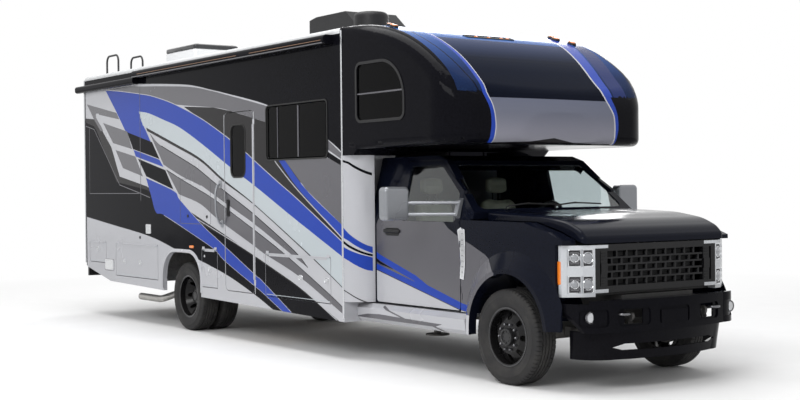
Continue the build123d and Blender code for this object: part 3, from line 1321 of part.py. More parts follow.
wall_back_x = COACH_REAR_X + REAR_WALL_T
for side, sign in SIDES:
    y = ordered(sign * (HALF - WALL), sign * HALF)
    through = grown(y, 5)
    with BuildPart() as wall:
        side_prism(
            (
                (wall_back_x, skirt_z(wall_back_x)),
                (SKIRT_REAR_X, SKIRT_REAR_Z),
                (COACH_FRONT_X - BULKHEAD_T, skirt_z(COACH_FRONT_X - BULKHEAD_T)),
                (COACH_FRONT_X - BULKHEAD_T, ROOF_Z0),
                (wall_back_x, ROOF_Z0),
            ),
            y,
        )
        # Wheel arch: round shoulders on straight legs
        arch_x = (AXLE_R - WHEEL_ARCH_HALF, AXLE_R + WHEEL_ARCH_HALF)
        rounded_prism(arch_x, (0, WHEEL_ARCH_TOP), through, WHEEL_ARCH_R, mode=Mode.SUBTRACT)
        rounded_prism(
            grown(WINDOW_X, -WINDOW_RIM),
            grown(WINDOW_Z, -WINDOW_RIM),
            through,
            WINDOW_R - WINDOW_RIM + 5,
            mode=Mode.SUBTRACT,
        )
        if sign < 0:
            rounded_prism(ENTRY_X, ENTRY_Z, through, ENTRY_R, mode=Mode.SUBTRACT)
        for name, x0, x1, z0, z1, has in BAGGAGE:
            if sign in has:
                rounded_prism((x0, x1), (z0, z1), through, BAGGAGE_R, mode=Mode.SUBTRACT)
                at = (sign * (HALF + HINGE_OUT), z1 - DOOR_GAP / 2)
                for ends in ((x0 + 20, x0 + 20 + HINGE_KNUCKLE), (x1 - 20 - HINGE_KNUCKLE, x1 - 20)):
                    hinge_line("X", at, HINGE_LEAF, ends, sign * HALF, sign)
        if sign < 0:
            at = (ENTRY_X[1] - DOOR_GAP / 2, -HALF - HINGE_OUT)
            for ends in (
                (ENTRY_HINGE_Z[0] - HINGE_KNUCKLE, ENTRY_HINGE_Z[0]),
                (ENTRY_HINGE_Z[1], ENTRY_HINGE_Z[1] + HINGE_KNUCKLE),
            ):
                hinge_line("Z", at, HINGE_LEAF, ends, -HALF, sign)
    pieces[f"wall_{side}"] = wall

with BuildPart() as wall_rear:
    block((COACH_REAR_X, wall_back_x), (-HALF, HALF), (TAIL_Z, ROOF_Z0))
    corners = wall_rear.edges().filter_by(Axis.Z).group_by(Axis.X)[0]
    fillet(corners, ROOF_EDGE_R)
pieces["wall_rear"] = wall_rear

with BuildPart() as roof:
    block((COACH_REAR_X, COACH_FRONT_X - BULKHEAD_T), (-HALF, HALF), (ROOF_Z0, ROOF_Z1))
    fillet(roof.edges().filter_by(Axis.Z).group_by(Axis.X)[0], ROOF_EDGE_R)
    long_edges = roof.edges().filter_by(Axis.X).group_by(Axis.Z)[-1]
    fillet(long_edges, ROOF_EDGE_R)
pieces["roof"] = roof

# ------------------------------------------------------------------ over-cab cap
cap_back_x = COACH_FRONT_X - BULKHEAD_T


def cap_solid(inset, name_open):
    """Cap as the common part of its side profile and its plan, moved in by an inset."""
    crown_r = CAP_CROWN_R - inset
    centre = Vector(CAP_CROWN_X, ROOF_Z1 - CAP_CROWN_R)
    nose_x, nose_z = CAP_NOSE_X - inset, CAP_NOSE_Z - inset * 0.45
    turn = math.radians(40)
    arc_end = (centre.X + crown_r * math.sin(turn), centre.Y + crown_r * math.cos(turn))
    arc_mid = (centre.X + crown_r * math.sin(turn / 2), centre.Y + crown_r * math.cos(turn / 2))
    crown = (centre.X, ROOF_Z1 - inset)
    back = cap_back_x - (1 if name_open else 0)
    low_front = (nose_x - 25, CAP_BOTTOM_Z + inset)
    low_back = (COACH_FRONT_X + 260, CAP_BOTTOM_Z + inset)
    with BuildPart() as made:
        with BuildSketch(Plane.XZ.offset(-HALF)) as face:
            with BuildLine():
                Line((back, CAP_BACK_Z + inset), (back, crown[1]))
                Line((back, crown[1]), crown)
                ThreePointArc(crown, arc_mid, arc_end)
                Line(arc_end, (nose_x, nose_z))
                Line((nose_x, nose_z), low_front)
                Line(low_front, low_back)
                Line(low_back, (COACH_FRONT_X + 180, CAP_BACK_Z + inset))
                Line((COACH_FRONT_X + 180, CAP_BACK_Z + inset), (back, CAP_BACK_Z + inset))
            make_face()
        extrude(face.sketch, amount=2 * HALF)
        half = HALF - inset
        front = CAP_NOSE_X - inset
        corner = CAP_CORNER_R - inset
        with BuildSketch(Plane.XY.offset(CAP_BACK_Z - 10)) as plan:
            with BuildLine():
                Line((back, -half), (front - corner - 90, -half))
                ThreePointArc(
                    (front - corner - 90, -half),
                    (front - corner * 0.36 - 60, -half + corner * 0.30),
                    (front - 62, -half + corner),
                )
                ThreePointArc((front - 62, -half + corner), (front, 0), (front - 62, half - corner))
                ThreePointArc(
                    (front - 62, half - corner),
                    (front - corner * 0.36 - 60, half - corner * 0.30),
                    (front - corner - 90, half),
                )
                Line((front - corner - 90, half), (back, half))
                Line((back, half), (back, -half))
            make_face()
        extrude(plan.sketch, amount=ROOF_Z1 - CAP_BACK_Z + 20, mode=Mode.INTERSECT)
    return made.part


def cap_window(inset, y, mode=Mode.ADD):
    """Prism along Y of the cap's side window, with one wide corner, moved in by an inset."""
    x, z = grown(CAP_WINDOW_X, -inset), grown(CAP_WINDOW_Z, -inset)
    with BuildSketch(Plane.XZ.offset(-y[1])) as face:
        with BuildLine():
            Polyline((x[0], z[0]), (x[1], z[0]), (x[1], z[1]), (x[0], z[1]), close=True)
        make_face()
        wide = face.vertices().sort_by_distance((x[1], z[1], 0))[0]
        rest = [v for v in face.vertices() if v != wide]
        fillet(wide, CAP_WINDOW_R - inset)
        corners = [face.vertices().sort_by_distance((v.X, v.Y, 0))[0] for v in rest]
        fillet(corners, WINDOW_R + WINDOW_RIM - inset)
    extrude(face.sketch, amount=y[1] - y[0], mode=mode)


cap_room = cap_solid(CAP_WALL, True)
with BuildPart() as cap_moulding:
    add(cap_solid(0, False))
    add(cap_room, mode=Mode.SUBTRACT)
    # Open underneath, over the way from cab to coach
    block(
        (cap_back_x - 1, CAB_BACK_X + 120),
        (-PASS_HALF, PASS_HALF),
        (CAP_BACK_Z - 1, CAP_BACK_Z + CAP_WALL + 1),
        mode=Mode.SUBTRACT,
    )
    for _, sign in SIDES:
        through = ordered(sign * (HALF - CAP_WALL - 5), sign * (HALF + 5))
        cap_window(WINDOW_RIM, through, mode=Mode.SUBTRACT)
# Cap above and pan below meet at the top of the bunk's floor
PAN_TOP_Z = CAP_BOTTOM_Z + CAP_WALL
for name, z in (("overcab_cap", (PAN_TOP_Z, ROOF_Z1 + 1)), ("cap_pan", (CAP_BACK_Z - 1, PAN_TOP_Z))):
    with BuildPart() as cap_half:
        add(cap_moulding)
        block((cap_back_x - 1, CAP_NOSE_X + 100), (-HALF - 1, HALF + 1), z, mode=Mode.INTERSECT)
    pieces[name] = cap_half

# ------------------------------------------------------------------ windows of the coach
RIM_PROUD = 8
with BuildPart() as window_frames:
    for _, sign in SIDES:
        rim_y = ordered(sign * HALF, sign * (HALF + RIM_PROUD))
        rounded_prism(WINDOW_X, WINDOW_Z, rim_y, WINDOW_R)
        hole_x, hole_z = grown(WINDOW_X, -WINDOW_RIM), grown(WINDOW_Z, -WINDOW_RIM)
        rounded_prism(hole_x, hole_z, rim_y, WINDOW_R - WINDOW_RIM + 5, mode=Mode.SUBTRACT)
        cap_window(0, rim_y)
        cap_window(WINDOW_RIM, rim_y, mode=Mode.SUBTRACT)
pieces["window_frames"] = window_frames

with BuildPart() as coach_windows:
    for _, sign in SIDES:
        pane_y = ordered(sign * (HALF - 14), sign * (HALF - 14 + GLASS_T))
        pane_x, pane_z = grown(WINDOW_X, -WINDOW_RIM), grown(WINDOW_Z, -WINDOW_RIM)
        rounded_prism(pane_x, pane_z, pane_y, WINDOW_R - WINDOW_RIM + 5)
        cap_window(WINDOW_RIM, pane_y)
pieces["coach_windows"] = coach_windows

# ------------------------------------------------------------------ entry door
entry_y = (-HALF, -HALF + WALL)
with BuildPart() as entry_door:
    rounded_prism(grown(ENTRY_X, -DOOR_GAP), grown(ENTRY_Z, -DOOR_GAP), entry_y, ENTRY_R - DOOR_GAP)
    rounded_prism(PANE_X, PANE_Z, grown(entry_y, 5), PANE_R, mode=Mode.SUBTRACT)
    at = (ENTRY_X[1] - DOOR_GAP / 2, -HALF - HINGE_OUT)
    barrel = (ENTRY_HINGE_Z[0] + REST, ENTRY_HINGE_Z[1] - REST)
    hinge_line("Z", at, -HINGE_LEAF, barrel, -HALF, -1)
pieces["entry_door"] = entry_door
with BuildPart() as entry_door_glass:
    rounded_prism(PANE_X, PANE_Z, (entry_y[0] + 8, entry_y[0] + 8 + GLASS_T), PANE_R)
pieces["entry_door_glass"] = entry_door_glass

# ------------------------------------------------------------------ baggage doors and bins
for name, x0, x1, z0, z1, has in BAGGAGE:
    for side, sign in SIDES:
        if sign in has:
            y = ordered(sign * (HALF - BAGGAGE_T), sign * HALF)
            with BuildPart() as bag_door:
                rounded_prism(grown((x0, x1), -DOOR_GAP), grown((z0, z1), -DOOR_GAP), y, BAGGAGE_R - 4)
                at = (sign * (HALF + HINGE_OUT), z1 - DOOR_GAP / 2)
                barrel = (x0 + 20 + HINGE_KNUCKLE + REST, x1 - 20 - HINGE_KNUCKLE - REST)
                hinge_line("X", at, -HINGE_LEAF, barrel, sign * HALF, sign)
            pieces[f"bag_door_{name}_{side}"] = bag_door

with BuildPart() as baggage_bins:
    for name, x0, x1, z0, z1, has in BAGGAGE:
        for _, sign in SIDES:
            if sign in has:
                y = ordered(sign * (HALF - WALL), sign * (HALF - WALL - BIN_DEPTH))
                top = FLOOR_Z0
                block(grown((x0, x1), BIN_WALL), y, (z0 - BIN_WALL, top))
                clear = ordered(sign * (HALF - WALL + 1), sign * (HALF - WALL - BIN_DEPTH + BIN_WALL))
                block((x0, x1), clear, (z0, z1 - 2), mode=Mode.SUBTRACT)
pieces["baggage_bins"] = baggage_bins

# ------------------------------------------------------------------ roof equipment
AC_X = (AXLE_F - 4456, AXLE_F - 3393)
AC_HALF = 345
AC_H = 375
DOME_AT = (AXLE_F - 3140, -330)
DOME_R = 192
DOME_H = 302
DOME_BASE = (250, 70)  # radius and height of the dome's foot
VENT_X = (AXLE_F - 8350, AXLE_F - 7420)
VENT_H = 382
with BuildPart() as roof_units:
    side_prism(
        (
            (AC_X[0], ROOF_Z1),
            (AC_X[0], ROOF_Z1 + AC_H - 35),
            (AC_X[0] + 200, ROOF_Z1 + AC_H),
            (AC_X[1] - 240, ROOF_Z1 + AC_H),
            (AC_X[1], ROOF_Z1 + AC_H - 190),
            (AC_X[1], ROOF_Z1),
        ),
        (-AC_HALF, AC_HALF),
    )
    fillet(roof_units.edges().filter_by(Axis.Z), 60)
    upright(*DOME_AT, DOME_R, (ROOF_Z1, ROOF_Z1 + DOME_H))
    fillet(roof_units.edges().filter_by(GeomType.CIRCLE).sort_by_distance((*DOME_AT, ROOF_Z1 + DOME_H))[0], 55)
    upright(*DOME_AT, DOME_BASE[0], (ROOF_Z1, ROOF_Z1 + DOME_BASE[1]))
pieces["roof_units"] = roof_units
with BuildPart() as roof_vent:
    block(VENT_X, (-AC_HALF, AC_HALF), (ROOF_Z1, ROOF_Z1 + VENT_H))
    fillet(roof_vent.edges().filter_by(Axis.Y).group_by(Axis.Z)[-1], 60)
    fillet(roof_vent.edges().filter_by(Axis.Z), 60)
pieces["roof_vent"] = roof_vent

# ------------------------------------------------------------------ awnings, ladder, tail
AWNING_X = (AXLE_F - 7180, AXLE_F - 2460)
AWNING_REAR_X = (BUMPER_REAR_X + 15, AXLE_F - 7200)
AWNING_Z = (3190, ROOF_Z0 - 2)
AWNING_OUT = 120
AWNING_REAR_Z = (3120, 3215)
with BuildPart() as awnings:
    case_y = (-HALF - AWNING_OUT, -HALF)
    block(AWNING_X, case_y, AWNING_Z)
    fillet(awnings.edges().filter_by(Axis.X).group_by(Axis.Y)[0], 42)
    with BuildSketch(Plane.YZ.offset(AWNING_REAR_X[0])) as case:
        mid_y = -HALF - (AWNING_OUT - 20) / 2
        with Locations((mid_y, (AWNING_REAR_Z[0] + AWNING_REAR_Z[1]) / 2)):
            RectangleRounded(AWNING_OUT - 20, AWNING_REAR_Z[1] - AWNING_REAR_Z[0], 36)
    extrude(case.sketch, amount=AWNING_REAR_X[1] - AWNING_REAR_X[0])
pieces["awnings"] = awnings

LADDER_Y = (-870, -500)
LADDER_R = 14
LADDER_X = COACH_REAR_X - 75
LADDER_Z0 = 1250
LADDER_TOP = 3665
LADDER_ROOF_X = COACH_REAR_X + 330
with BuildPart() as ladder:
    for y in LADDER_Y:
        with BuildLine() as rail:
            FilletPolyline(
                (LADDER_X, y, LADDER_Z0),
                (LADDER_X, y, LADDER_TOP),
                (LADDER_ROOF_X, y, LADDER_TOP),
                (LADDER_ROOF_X, y, ROOF_Z1),
                radius=90,
            )
        with BuildSketch(Plane(origin=(LADDER_X, y, LADDER_Z0), z_dir=(0, 0, 1))):
            Circle(LADDER_R)
        sweep(path=rail.line)
        for z in (LADDER_Z0 + 40, 2300, ROOF_Z0 - 90):
            lengthwise(y, z, LADDER_R - 3, (LADDER_X, COACH_REAR_X))
    for n in range(7):
        z = LADDER_Z0 + 110 + 300 * n
        across(LADDER_X, z, LADDER_R - 2, LADDER_Y)
pieces["ladder"] = ladder

TAIL_LAMP_Z = (1280, 1760)
with BuildPart() as tail_lamps:
    for _, sign in SIDES:
        y = ordered(sign * (HALF - 70), sign * (HALF - 190))
        block((COACH_REAR_X - 22, COACH_REAR_X), y, TAIL_LAMP_Z)
pieces["tail_lamps"] = tail_lamps

with BuildPart() as rear_bumper:
    bar_z = (TAIL_Z - 150, TAIL_Z - 5)
    block((BUMPER_REAR_X, BUMPER_REAR_X + 80), (-HALF + 60, HALF - 60), bar_z)
    fillet(rear_bumper.edges().filter_by(Axis.Z).group_by(Axis.X)[0], 40)
    for _, sign in SIDES:
        arm = ordered(sign * (RAIL_OUT - RAIL_FLANGE), sign * RAIL_OUT)
        block((BUMPER_REAR_X + 80, RAIL_REAR_X), arm, (RAIL_Z0, RAIL_Z0 + 70))
pieces["rear_bumper"] = rear_bumper

for name, made in pieces.items():
    made.part.label = name
    export_step(made.part, f"parts/{name}.step")
print(len(pieces), "pieces")
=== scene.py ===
"""Looks of an over-cab motorhome: paints, livery, tyres, lamps, seats, trims and the stage.

Metres. +X is forward, +Y is the vehicle's left and +Z is up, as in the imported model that
is loaded below. Run as a script; each group of pieces is one operator.
"""
import json
import math

import bmesh
import bpy
import numpy as np
from mathutils import Matrix, Vector
from mathutils.geometry import delaunay_2d_cdt

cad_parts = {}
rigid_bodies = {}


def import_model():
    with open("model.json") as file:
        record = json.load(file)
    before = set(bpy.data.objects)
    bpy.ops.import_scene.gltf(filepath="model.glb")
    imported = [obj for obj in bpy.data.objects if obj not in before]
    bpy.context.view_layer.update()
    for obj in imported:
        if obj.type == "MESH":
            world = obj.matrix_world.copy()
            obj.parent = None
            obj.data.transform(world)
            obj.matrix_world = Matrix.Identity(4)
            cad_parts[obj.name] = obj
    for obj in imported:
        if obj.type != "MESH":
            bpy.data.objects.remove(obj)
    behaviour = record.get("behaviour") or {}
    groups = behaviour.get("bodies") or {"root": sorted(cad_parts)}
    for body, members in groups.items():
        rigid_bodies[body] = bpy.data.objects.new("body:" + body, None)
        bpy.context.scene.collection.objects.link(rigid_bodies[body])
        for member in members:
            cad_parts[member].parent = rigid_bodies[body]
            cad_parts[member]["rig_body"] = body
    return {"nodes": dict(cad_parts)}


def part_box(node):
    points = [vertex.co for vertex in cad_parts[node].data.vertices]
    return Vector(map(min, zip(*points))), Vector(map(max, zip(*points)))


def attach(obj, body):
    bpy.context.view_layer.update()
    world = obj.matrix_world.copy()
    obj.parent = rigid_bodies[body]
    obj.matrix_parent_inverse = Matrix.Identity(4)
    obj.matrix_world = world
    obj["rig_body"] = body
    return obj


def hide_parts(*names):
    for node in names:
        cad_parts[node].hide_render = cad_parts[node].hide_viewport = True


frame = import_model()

bl_info = {
    "name": "Over-cab motorhome",
    "version": (1, 0, 0),
    "blender": (4, 5, 0),
    "location": "3D View > Sidebar > Motorhome",
    "description": "Dresses the packed motorhome with paint, livery, tyres, lamps and trims",
    "category": "Object",
}

SIDES = (("left", 1.0), ("right", -1.0))
WALL_Y, AWNING_Y, GLASS_Y = 1.257, 1.377, 1.249  # outer faces, from the middle of the vehicle
ROOF_Z = 3.35
FLAT = ((0, 0, 0), (1, 0, 0), (0, 1, 0), (0, 0, 1))
NODES = frame["nodes"]
SURFACES = {}
BODY = "coach"


# ---------------------------------------------------------------- settings a user may change
class PaintSettings(bpy.types.PropertyGroup):
    """Colours of the paint and of the stripes, as linear values"""

    black: bpy.props.FloatVectorProperty(
        name="Black", description="Upper coach and cap paint",
        default=(0.0045, 0.0045, 0.0065), subtype="COLOR", size=3, min=0, max=1)
    navy: bpy.props.FloatVectorProperty(
        name="Cab", description="Hood and cab paint, black with a blue cast",
        default=(0.0035, 0.0046, 0.0105), subtype="COLOR", size=3, min=0, max=1)
    silver: bpy.props.FloatVectorProperty(
        name="Silver", description="Main silver of the walls",
        default=(0.47, 0.475, 0.505), subtype="COLOR", size=3, min=0, max=1)
    pale: bpy.props.FloatVectorProperty(
        name="Pale silver", description="Cooler silver of the wide band under the blue",
        default=(0.47, 0.52, 0.55), subtype="COLOR", size=3, min=0, max=1)
    grey: bpy.props.FloatVectorProperty(
        name="Grey", description="Mid grey of the arch, the bands and the cab door",
        default=(0.085, 0.083, 0.096), subtype="COLOR", size=3, min=0, max=1)
    charcoal: bpy.props.FloatVectorProperty(
        name="Charcoal", description="Dark grey of the wedge round the entry door",
        default=(0.016, 0.015, 0.016), subtype="COLOR", size=3, min=0, max=1)
    blue: bpy.props.FloatVectorProperty(
        name="Blue", description="Blue of the stripes",
        default=(0.016, 0.052, 0.36), subtype="COLOR", size=3, min=0, max=1)


class TrimSettings(bpy.types.PropertyGroup):
    """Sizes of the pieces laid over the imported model"""

    film: bpy.props.FloatProperty(
        name="Film", description="How far the stripes stand off the panel under them",
        default=0.0008, min=0.0002, max=0.003, unit="LENGTH")
    seat_voxel: bpy.props.FloatProperty(
        name="Seat cell", description="Cell of the seats' remesh, in metres",
        default=0.008, min=0.004, max=0.03)
    seat_pressure: bpy.props.FloatProperty(
        name="Seat pressure", description="Pressure that fills the seat pads",
        default=4.0, min=0, max=20)
    tread_blocks: bpy.props.IntProperty(
        name="Tread blocks", description="Blocks round each tyre",
        default=64, min=24, max=120)
    tread_depth: bpy.props.FloatProperty(
        name="Tread depth", description="Depth of the tread's grooves",
        default=0.011, min=0.002, max=0.02, unit="LENGTH")


class StageSettings(bpy.types.PropertyGroup):
    """Camera, lamps and backdrop"""

    eye: bpy.props.FloatVectorProperty(
        name="Camera place", description="Where the camera stands",
        default=(13.041, -8.446, 1.722), subtype="TRANSLATION", unit="LENGTH", size=3)
    heading: bpy.props.FloatProperty(
        name="Heading", description="Direction the camera looks in, from +X towards +Y",
        default=2.5295, subtype="ANGLE")
    pitch: bpy.props.FloatProperty(
        name="Pitch", description="Upward tilt of the camera", default=-0.0085, subtype="ANGLE")
    roll: bpy.props.FloatProperty(
        name="Roll", description="Roll of the camera", default=-0.0101, subtype="ANGLE")
    lens: bpy.props.FloatProperty(
        name="Lens", description="Focal length for a 36 mm sensor", default=59.75, min=10, max=300)
    fill: bpy.props.FloatProperty(
        name="Fill", description="Strength of the even light from all round",
        default=0.62, min=0, max=3)


# ---------------------------------------------------------------- materials
MATERIALS = {}


def shader(name):
    """New node material: returns the material, its node maker, its links and its shader."""
    mat = bpy.data.materials.new(name)
    mat.use_nodes = True
    tree = mat.node_tree
    tree.nodes.clear()
    out = tree.nodes.new("ShaderNodeOutputMaterial")
    bsdf = tree.nodes.new("ShaderNodeBsdfPrincipled")
    tree.links.new(bsdf.outputs[0], out.inputs[0])
    MATERIALS[name] = mat
    return mat, tree.nodes.new, tree.links.new, bsdf


def scaled(colour, k):
    """A colour made darker or lighter by a factor, with full alpha."""
    return tuple(min(1.0, c * k) for c in colour[:3]) + (1.0,)


def noise(new, link, coords, scale, detail=3.0, stretch=None):
    """Noise in object space, stretched by a Mapping node where the grain runs one way."""
    node = new("ShaderNodeTexNoise")
    node.inputs["Scale"].default_value = scale
    node.inputs["Detail"].default_value = detail
    source = coords.outputs["Object"]
    if stretch:
        mapping = new("ShaderNodeMapping")
        mapping.inputs["Scale"].default_value = stretch
        link(source, mapping.inputs["Vector"])
        source = mapping.outputs[0]
    link(source, node.inputs["Vector"])
    return node.outputs["Fac"]


def spread(new, link, fac, low, high, start=0.3, end=0.7):
    """Map a noise value between start and end onto low to high."""
    node = new("ShaderNodeMapRange")
    node.inputs["From Min"].default_value = start
    node.inputs["From Max"].default_value = end
    node.inputs["To Min"].default_value = low
    node.inputs["To Max"].default_value = high
    link(fac, node.inputs["Value"])
    return node.outputs[0]


def blend_colour(new, link, fac, first, second):
    """Mix of two colours or sockets by a value."""
    node = new("ShaderNodeMix")
    node.data_type = "RGBA"
    link(fac, node.inputs["Factor"])
    for value, socket in ((first, node.inputs["A"]), (second, node.inputs["B"])):
        if isinstance(value, tuple):
            socket.default_value = value
        else:
            link(value, socket)
    return node.outputs["Result"]


def bumped(new, link, bsdf, height, strength, distance=0.001):
    """Turn a height value into the shader's surface relief."""
    node = new("ShaderNodeBump")
    node.inputs["Strength"].default_value = strength
    node.inputs["Distance"].default_value = distance
    link(height, node.inputs["Height"])
    link(node.outputs[0], bsdf.inputs["Normal"])


def finish(name, colour, rough=0.4, metal=0.0, coat=0.0, tone=0.08, grain=60.0, vary=0.05,
           bump=0.0, bump_scale=400.0, specular=0.5, stretch=None, dust=0.0):
    """A painted, moulded or cast finish.

    Colour runs between a darker and a lighter shade of itself by a fine noise, roughness by
    a coarse one, and bump by the finest. Dust greys what is below 0.9 m, in soft patches.
    """
    mat, new, link, bsdf = shader(name)
    coords = new("ShaderNodeTexCoord")
    fine = noise(new, link, coords, grain, 4.0, stretch)
    fac = spread(new, link, fine, 0.0, 1.0)
    tint = blend_colour(new, link, fac, scaled(colour, 1 - tone), scaled(colour, 1 + tone))
    coarse = noise(new, link, coords, 1.7, 3.0)
    level = spread(new, link, coarse, max(0.01, rough - vary), rough + vary)
    if dust:
        axes = new("ShaderNodeSeparateXYZ")
        link(coords.outputs["Object"], axes.inputs[0])
        low = spread(new, link, axes.outputs["Z"], dust, 0.0, 0.25, 0.9)
        patchy = new("ShaderNodeMath")
        patchy.operation = "MULTIPLY"
        link(low, patchy.inputs[0])
        link(spread(new, link, noise(new, link, coords, 5.0, 6.0), 0.4, 1.0), patchy.inputs[1])
        tint = blend_colour(new, link, patchy.outputs[0], tint, (0.30, 0.28, 0.25, 1.0))
    link(tint, bsdf.inputs["Base Color"])
    link(level, bsdf.inputs["Roughness"])
    bsdf.inputs["Metallic"].default_value = metal
    bsdf.inputs["Coat Weight"].default_value = coat
    bsdf.inputs["Coat Roughness"].default_value = 0.04
    bsdf.inputs["Specular IOR Level"].default_value = specular
    if bump:
        bumped(new, link, bsdf, noise(new, link, coords, bump_scale, 2.0, stretch), bump)
    return mat


def painted_light_by_height(name, stops):
    """Gloss finish whose colour runs with height through stops of (Z, colour), lightly flecked; the run
    is painted light, a sky reflection on the crown and shading on the cap's silver panel.
    """
    mat, new, link, bsdf = shader(name)
    coords = new("ShaderNodeTexCoord")
    axes = new("ShaderNodeSeparateXYZ")
    link(coords.outputs["Object"], axes.inputs[0])
    tint = scaled(stops[0][1], 1)
    for (z0, _), (z1, colour) in zip(stops, stops[1:]):
        tint = blend_colour(new, link, spread(new, link, axes.outputs["Z"], 0, 1, z0, z1), tint,
                            scaled(colour, 1))
    fleck = spread(new, link, noise(new, link, coords, 160.0, 4.0), 0.0, 0.12)
    tint = blend_colour(new, link, fleck, tint, scaled(stops[-1][1], 1))
    link(tint, bsdf.inputs["Base Color"])
    link(spread(new, link, noise(new, link, coords, 1.7, 3.0), 0.08, 0.14), bsdf.inputs["Roughness"])
    bsdf.inputs["Specular IOR Level"].default_value = 0.02
    return mat


def glass(name, colour, rough=0.0, through=1.0, ior=1.45):
    """Tinted pane: a transmitting shader whose tint deepens a little in soft patches."""
    mat, new, link, bsdf = shader(name)
    coords = new("ShaderNodeTexCoord")
    fac = spread(new, link, noise(new, link, coords, 0.8, 2.0), 0.0, 1.0)
    tint = blend_colour(new, link, fac, scaled(colour, 0.92), scaled(colour, 1.06))
    link(tint, bsdf.inputs["Base Color"])
    level = spread(new, link, noise(new, link, coords, 9.0, 4.0), rough, rough + 0.02)
    link(level, bsdf.inputs["Roughness"])
    bsdf.inputs["Transmission Weight"].default_value = through
    bsdf.inputs["IOR"].default_value = ior
    return mat


def rubber(name):
    """Tyre rubber: fine pores, and dust that settles in the grooves and on the shoulders."""
    mat, new, link, bsdf = shader(name)
    coords = new("ShaderNodeTexCoord")
    fine = noise(new, link, coords, 90.0, 5.0)
    fac = spread(new, link, fine, 0.0, 1.0)
    tint = blend_colour(new, link, fac, (0.012, 0.012, 0.013, 1), (0.026, 0.025, 0.025, 1))
    dusty = spread(new, link, noise(new, link, coords, 7.0, 6.0), 0.0, 0.35, 0.45, 0.8)
    tint = blend_colour(new, link, dusty, tint, (0.085, 0.08, 0.072, 1))
    link(tint, bsdf.inputs["Base Color"])
    link(spread(new, link, fine, 0.62, 0.85), bsdf.inputs["Roughness"])
    bsdf.inputs["Specular IOR Level"].default_value = 0.35
    bumped(new, link, bsdf, noise(new, link, coords, 500.0, 2.0), 0.25)
    return mat


def leather(name, colour):
    """Grained seat leather: cells for the grain, and slow creases of tone."""
    mat, new, link, bsdf = shader(name)
    coords = new("ShaderNodeTexCoord")
    cells = new("ShaderNodeTexVoronoi")
    cells.feature = "DISTANCE_TO_EDGE"
    cells.inputs["Scale"].default_value = 420.0
    link(coords.outputs["Object"], cells.inputs["Vector"])
    slow = spread(new, link, noise(new, link, coords, 6.0, 4.0), 0.0, 1.0)
    tint = blend_colour(new, link, slow, scaled(colour, 0.88), scaled(colour, 1.06))
    link(tint, bsdf.inputs["Base Color"])
    link(spread(new, link, slow, 0.42, 0.55, 0.0, 1.0), bsdf.inputs["Roughness"])
    bumped(new, link, bsdf, spread(new, link, cells.outputs["Distance"], 0, 1, 0, 0.1), 0.3, 0.0006)
    return mat


def plywood(name):
    """Floor board: long rings stretched along X, with darker latewood lines."""
    mat, new, link, bsdf = shader(name)
    coords = new("ShaderNodeTexCoord")
    grain = noise(new, link, coords, 8.0, 6.0, (0.25, 6.0, 6.0))
    fac = spread(new, link, grain, 0.0, 1.0)
    tint = blend_colour(new, link, fac, (0.20, 0.13, 0.075, 1), (0.36, 0.26, 0.16, 1))
    link(tint, bsdf.inputs["Base Color"])
    link(spread(new, link, grain, 0.45, 0.65), bsdf.inputs["Roughness"])
    bumped(new, link, bsdf, grain, 0.15)
    return mat


def galvanised(name):
    """Zinc-coated sheet: patches of crystal, each a slightly different grey."""
    mat, new, link, bsdf = shader(name)
    coords = new("ShaderNodeTexCoord")
    cells = new("ShaderNodeTexVoronoi")
    cells.inputs["Scale"].default_value = 45.0
    link(coords.outputs["Object"], cells.inputs["Vector"])
    split = new("ShaderNodeSeparateColor")
    link(cells.outputs["Color"], split.inputs[0])
    tint = blend_colour(new, link, split.outputs[0], (0.30, 0.31, 0.32, 1), (0.42, 0.43, 0.44, 1))
    link(tint, bsdf.inputs["Base Color"])
    link(spread(new, link, split.outputs[1], 0.35, 0.5, 0, 1), bsdf.inputs["Roughness"])
    bsdf.inputs["Metallic"].default_value = 0.8
    return mat


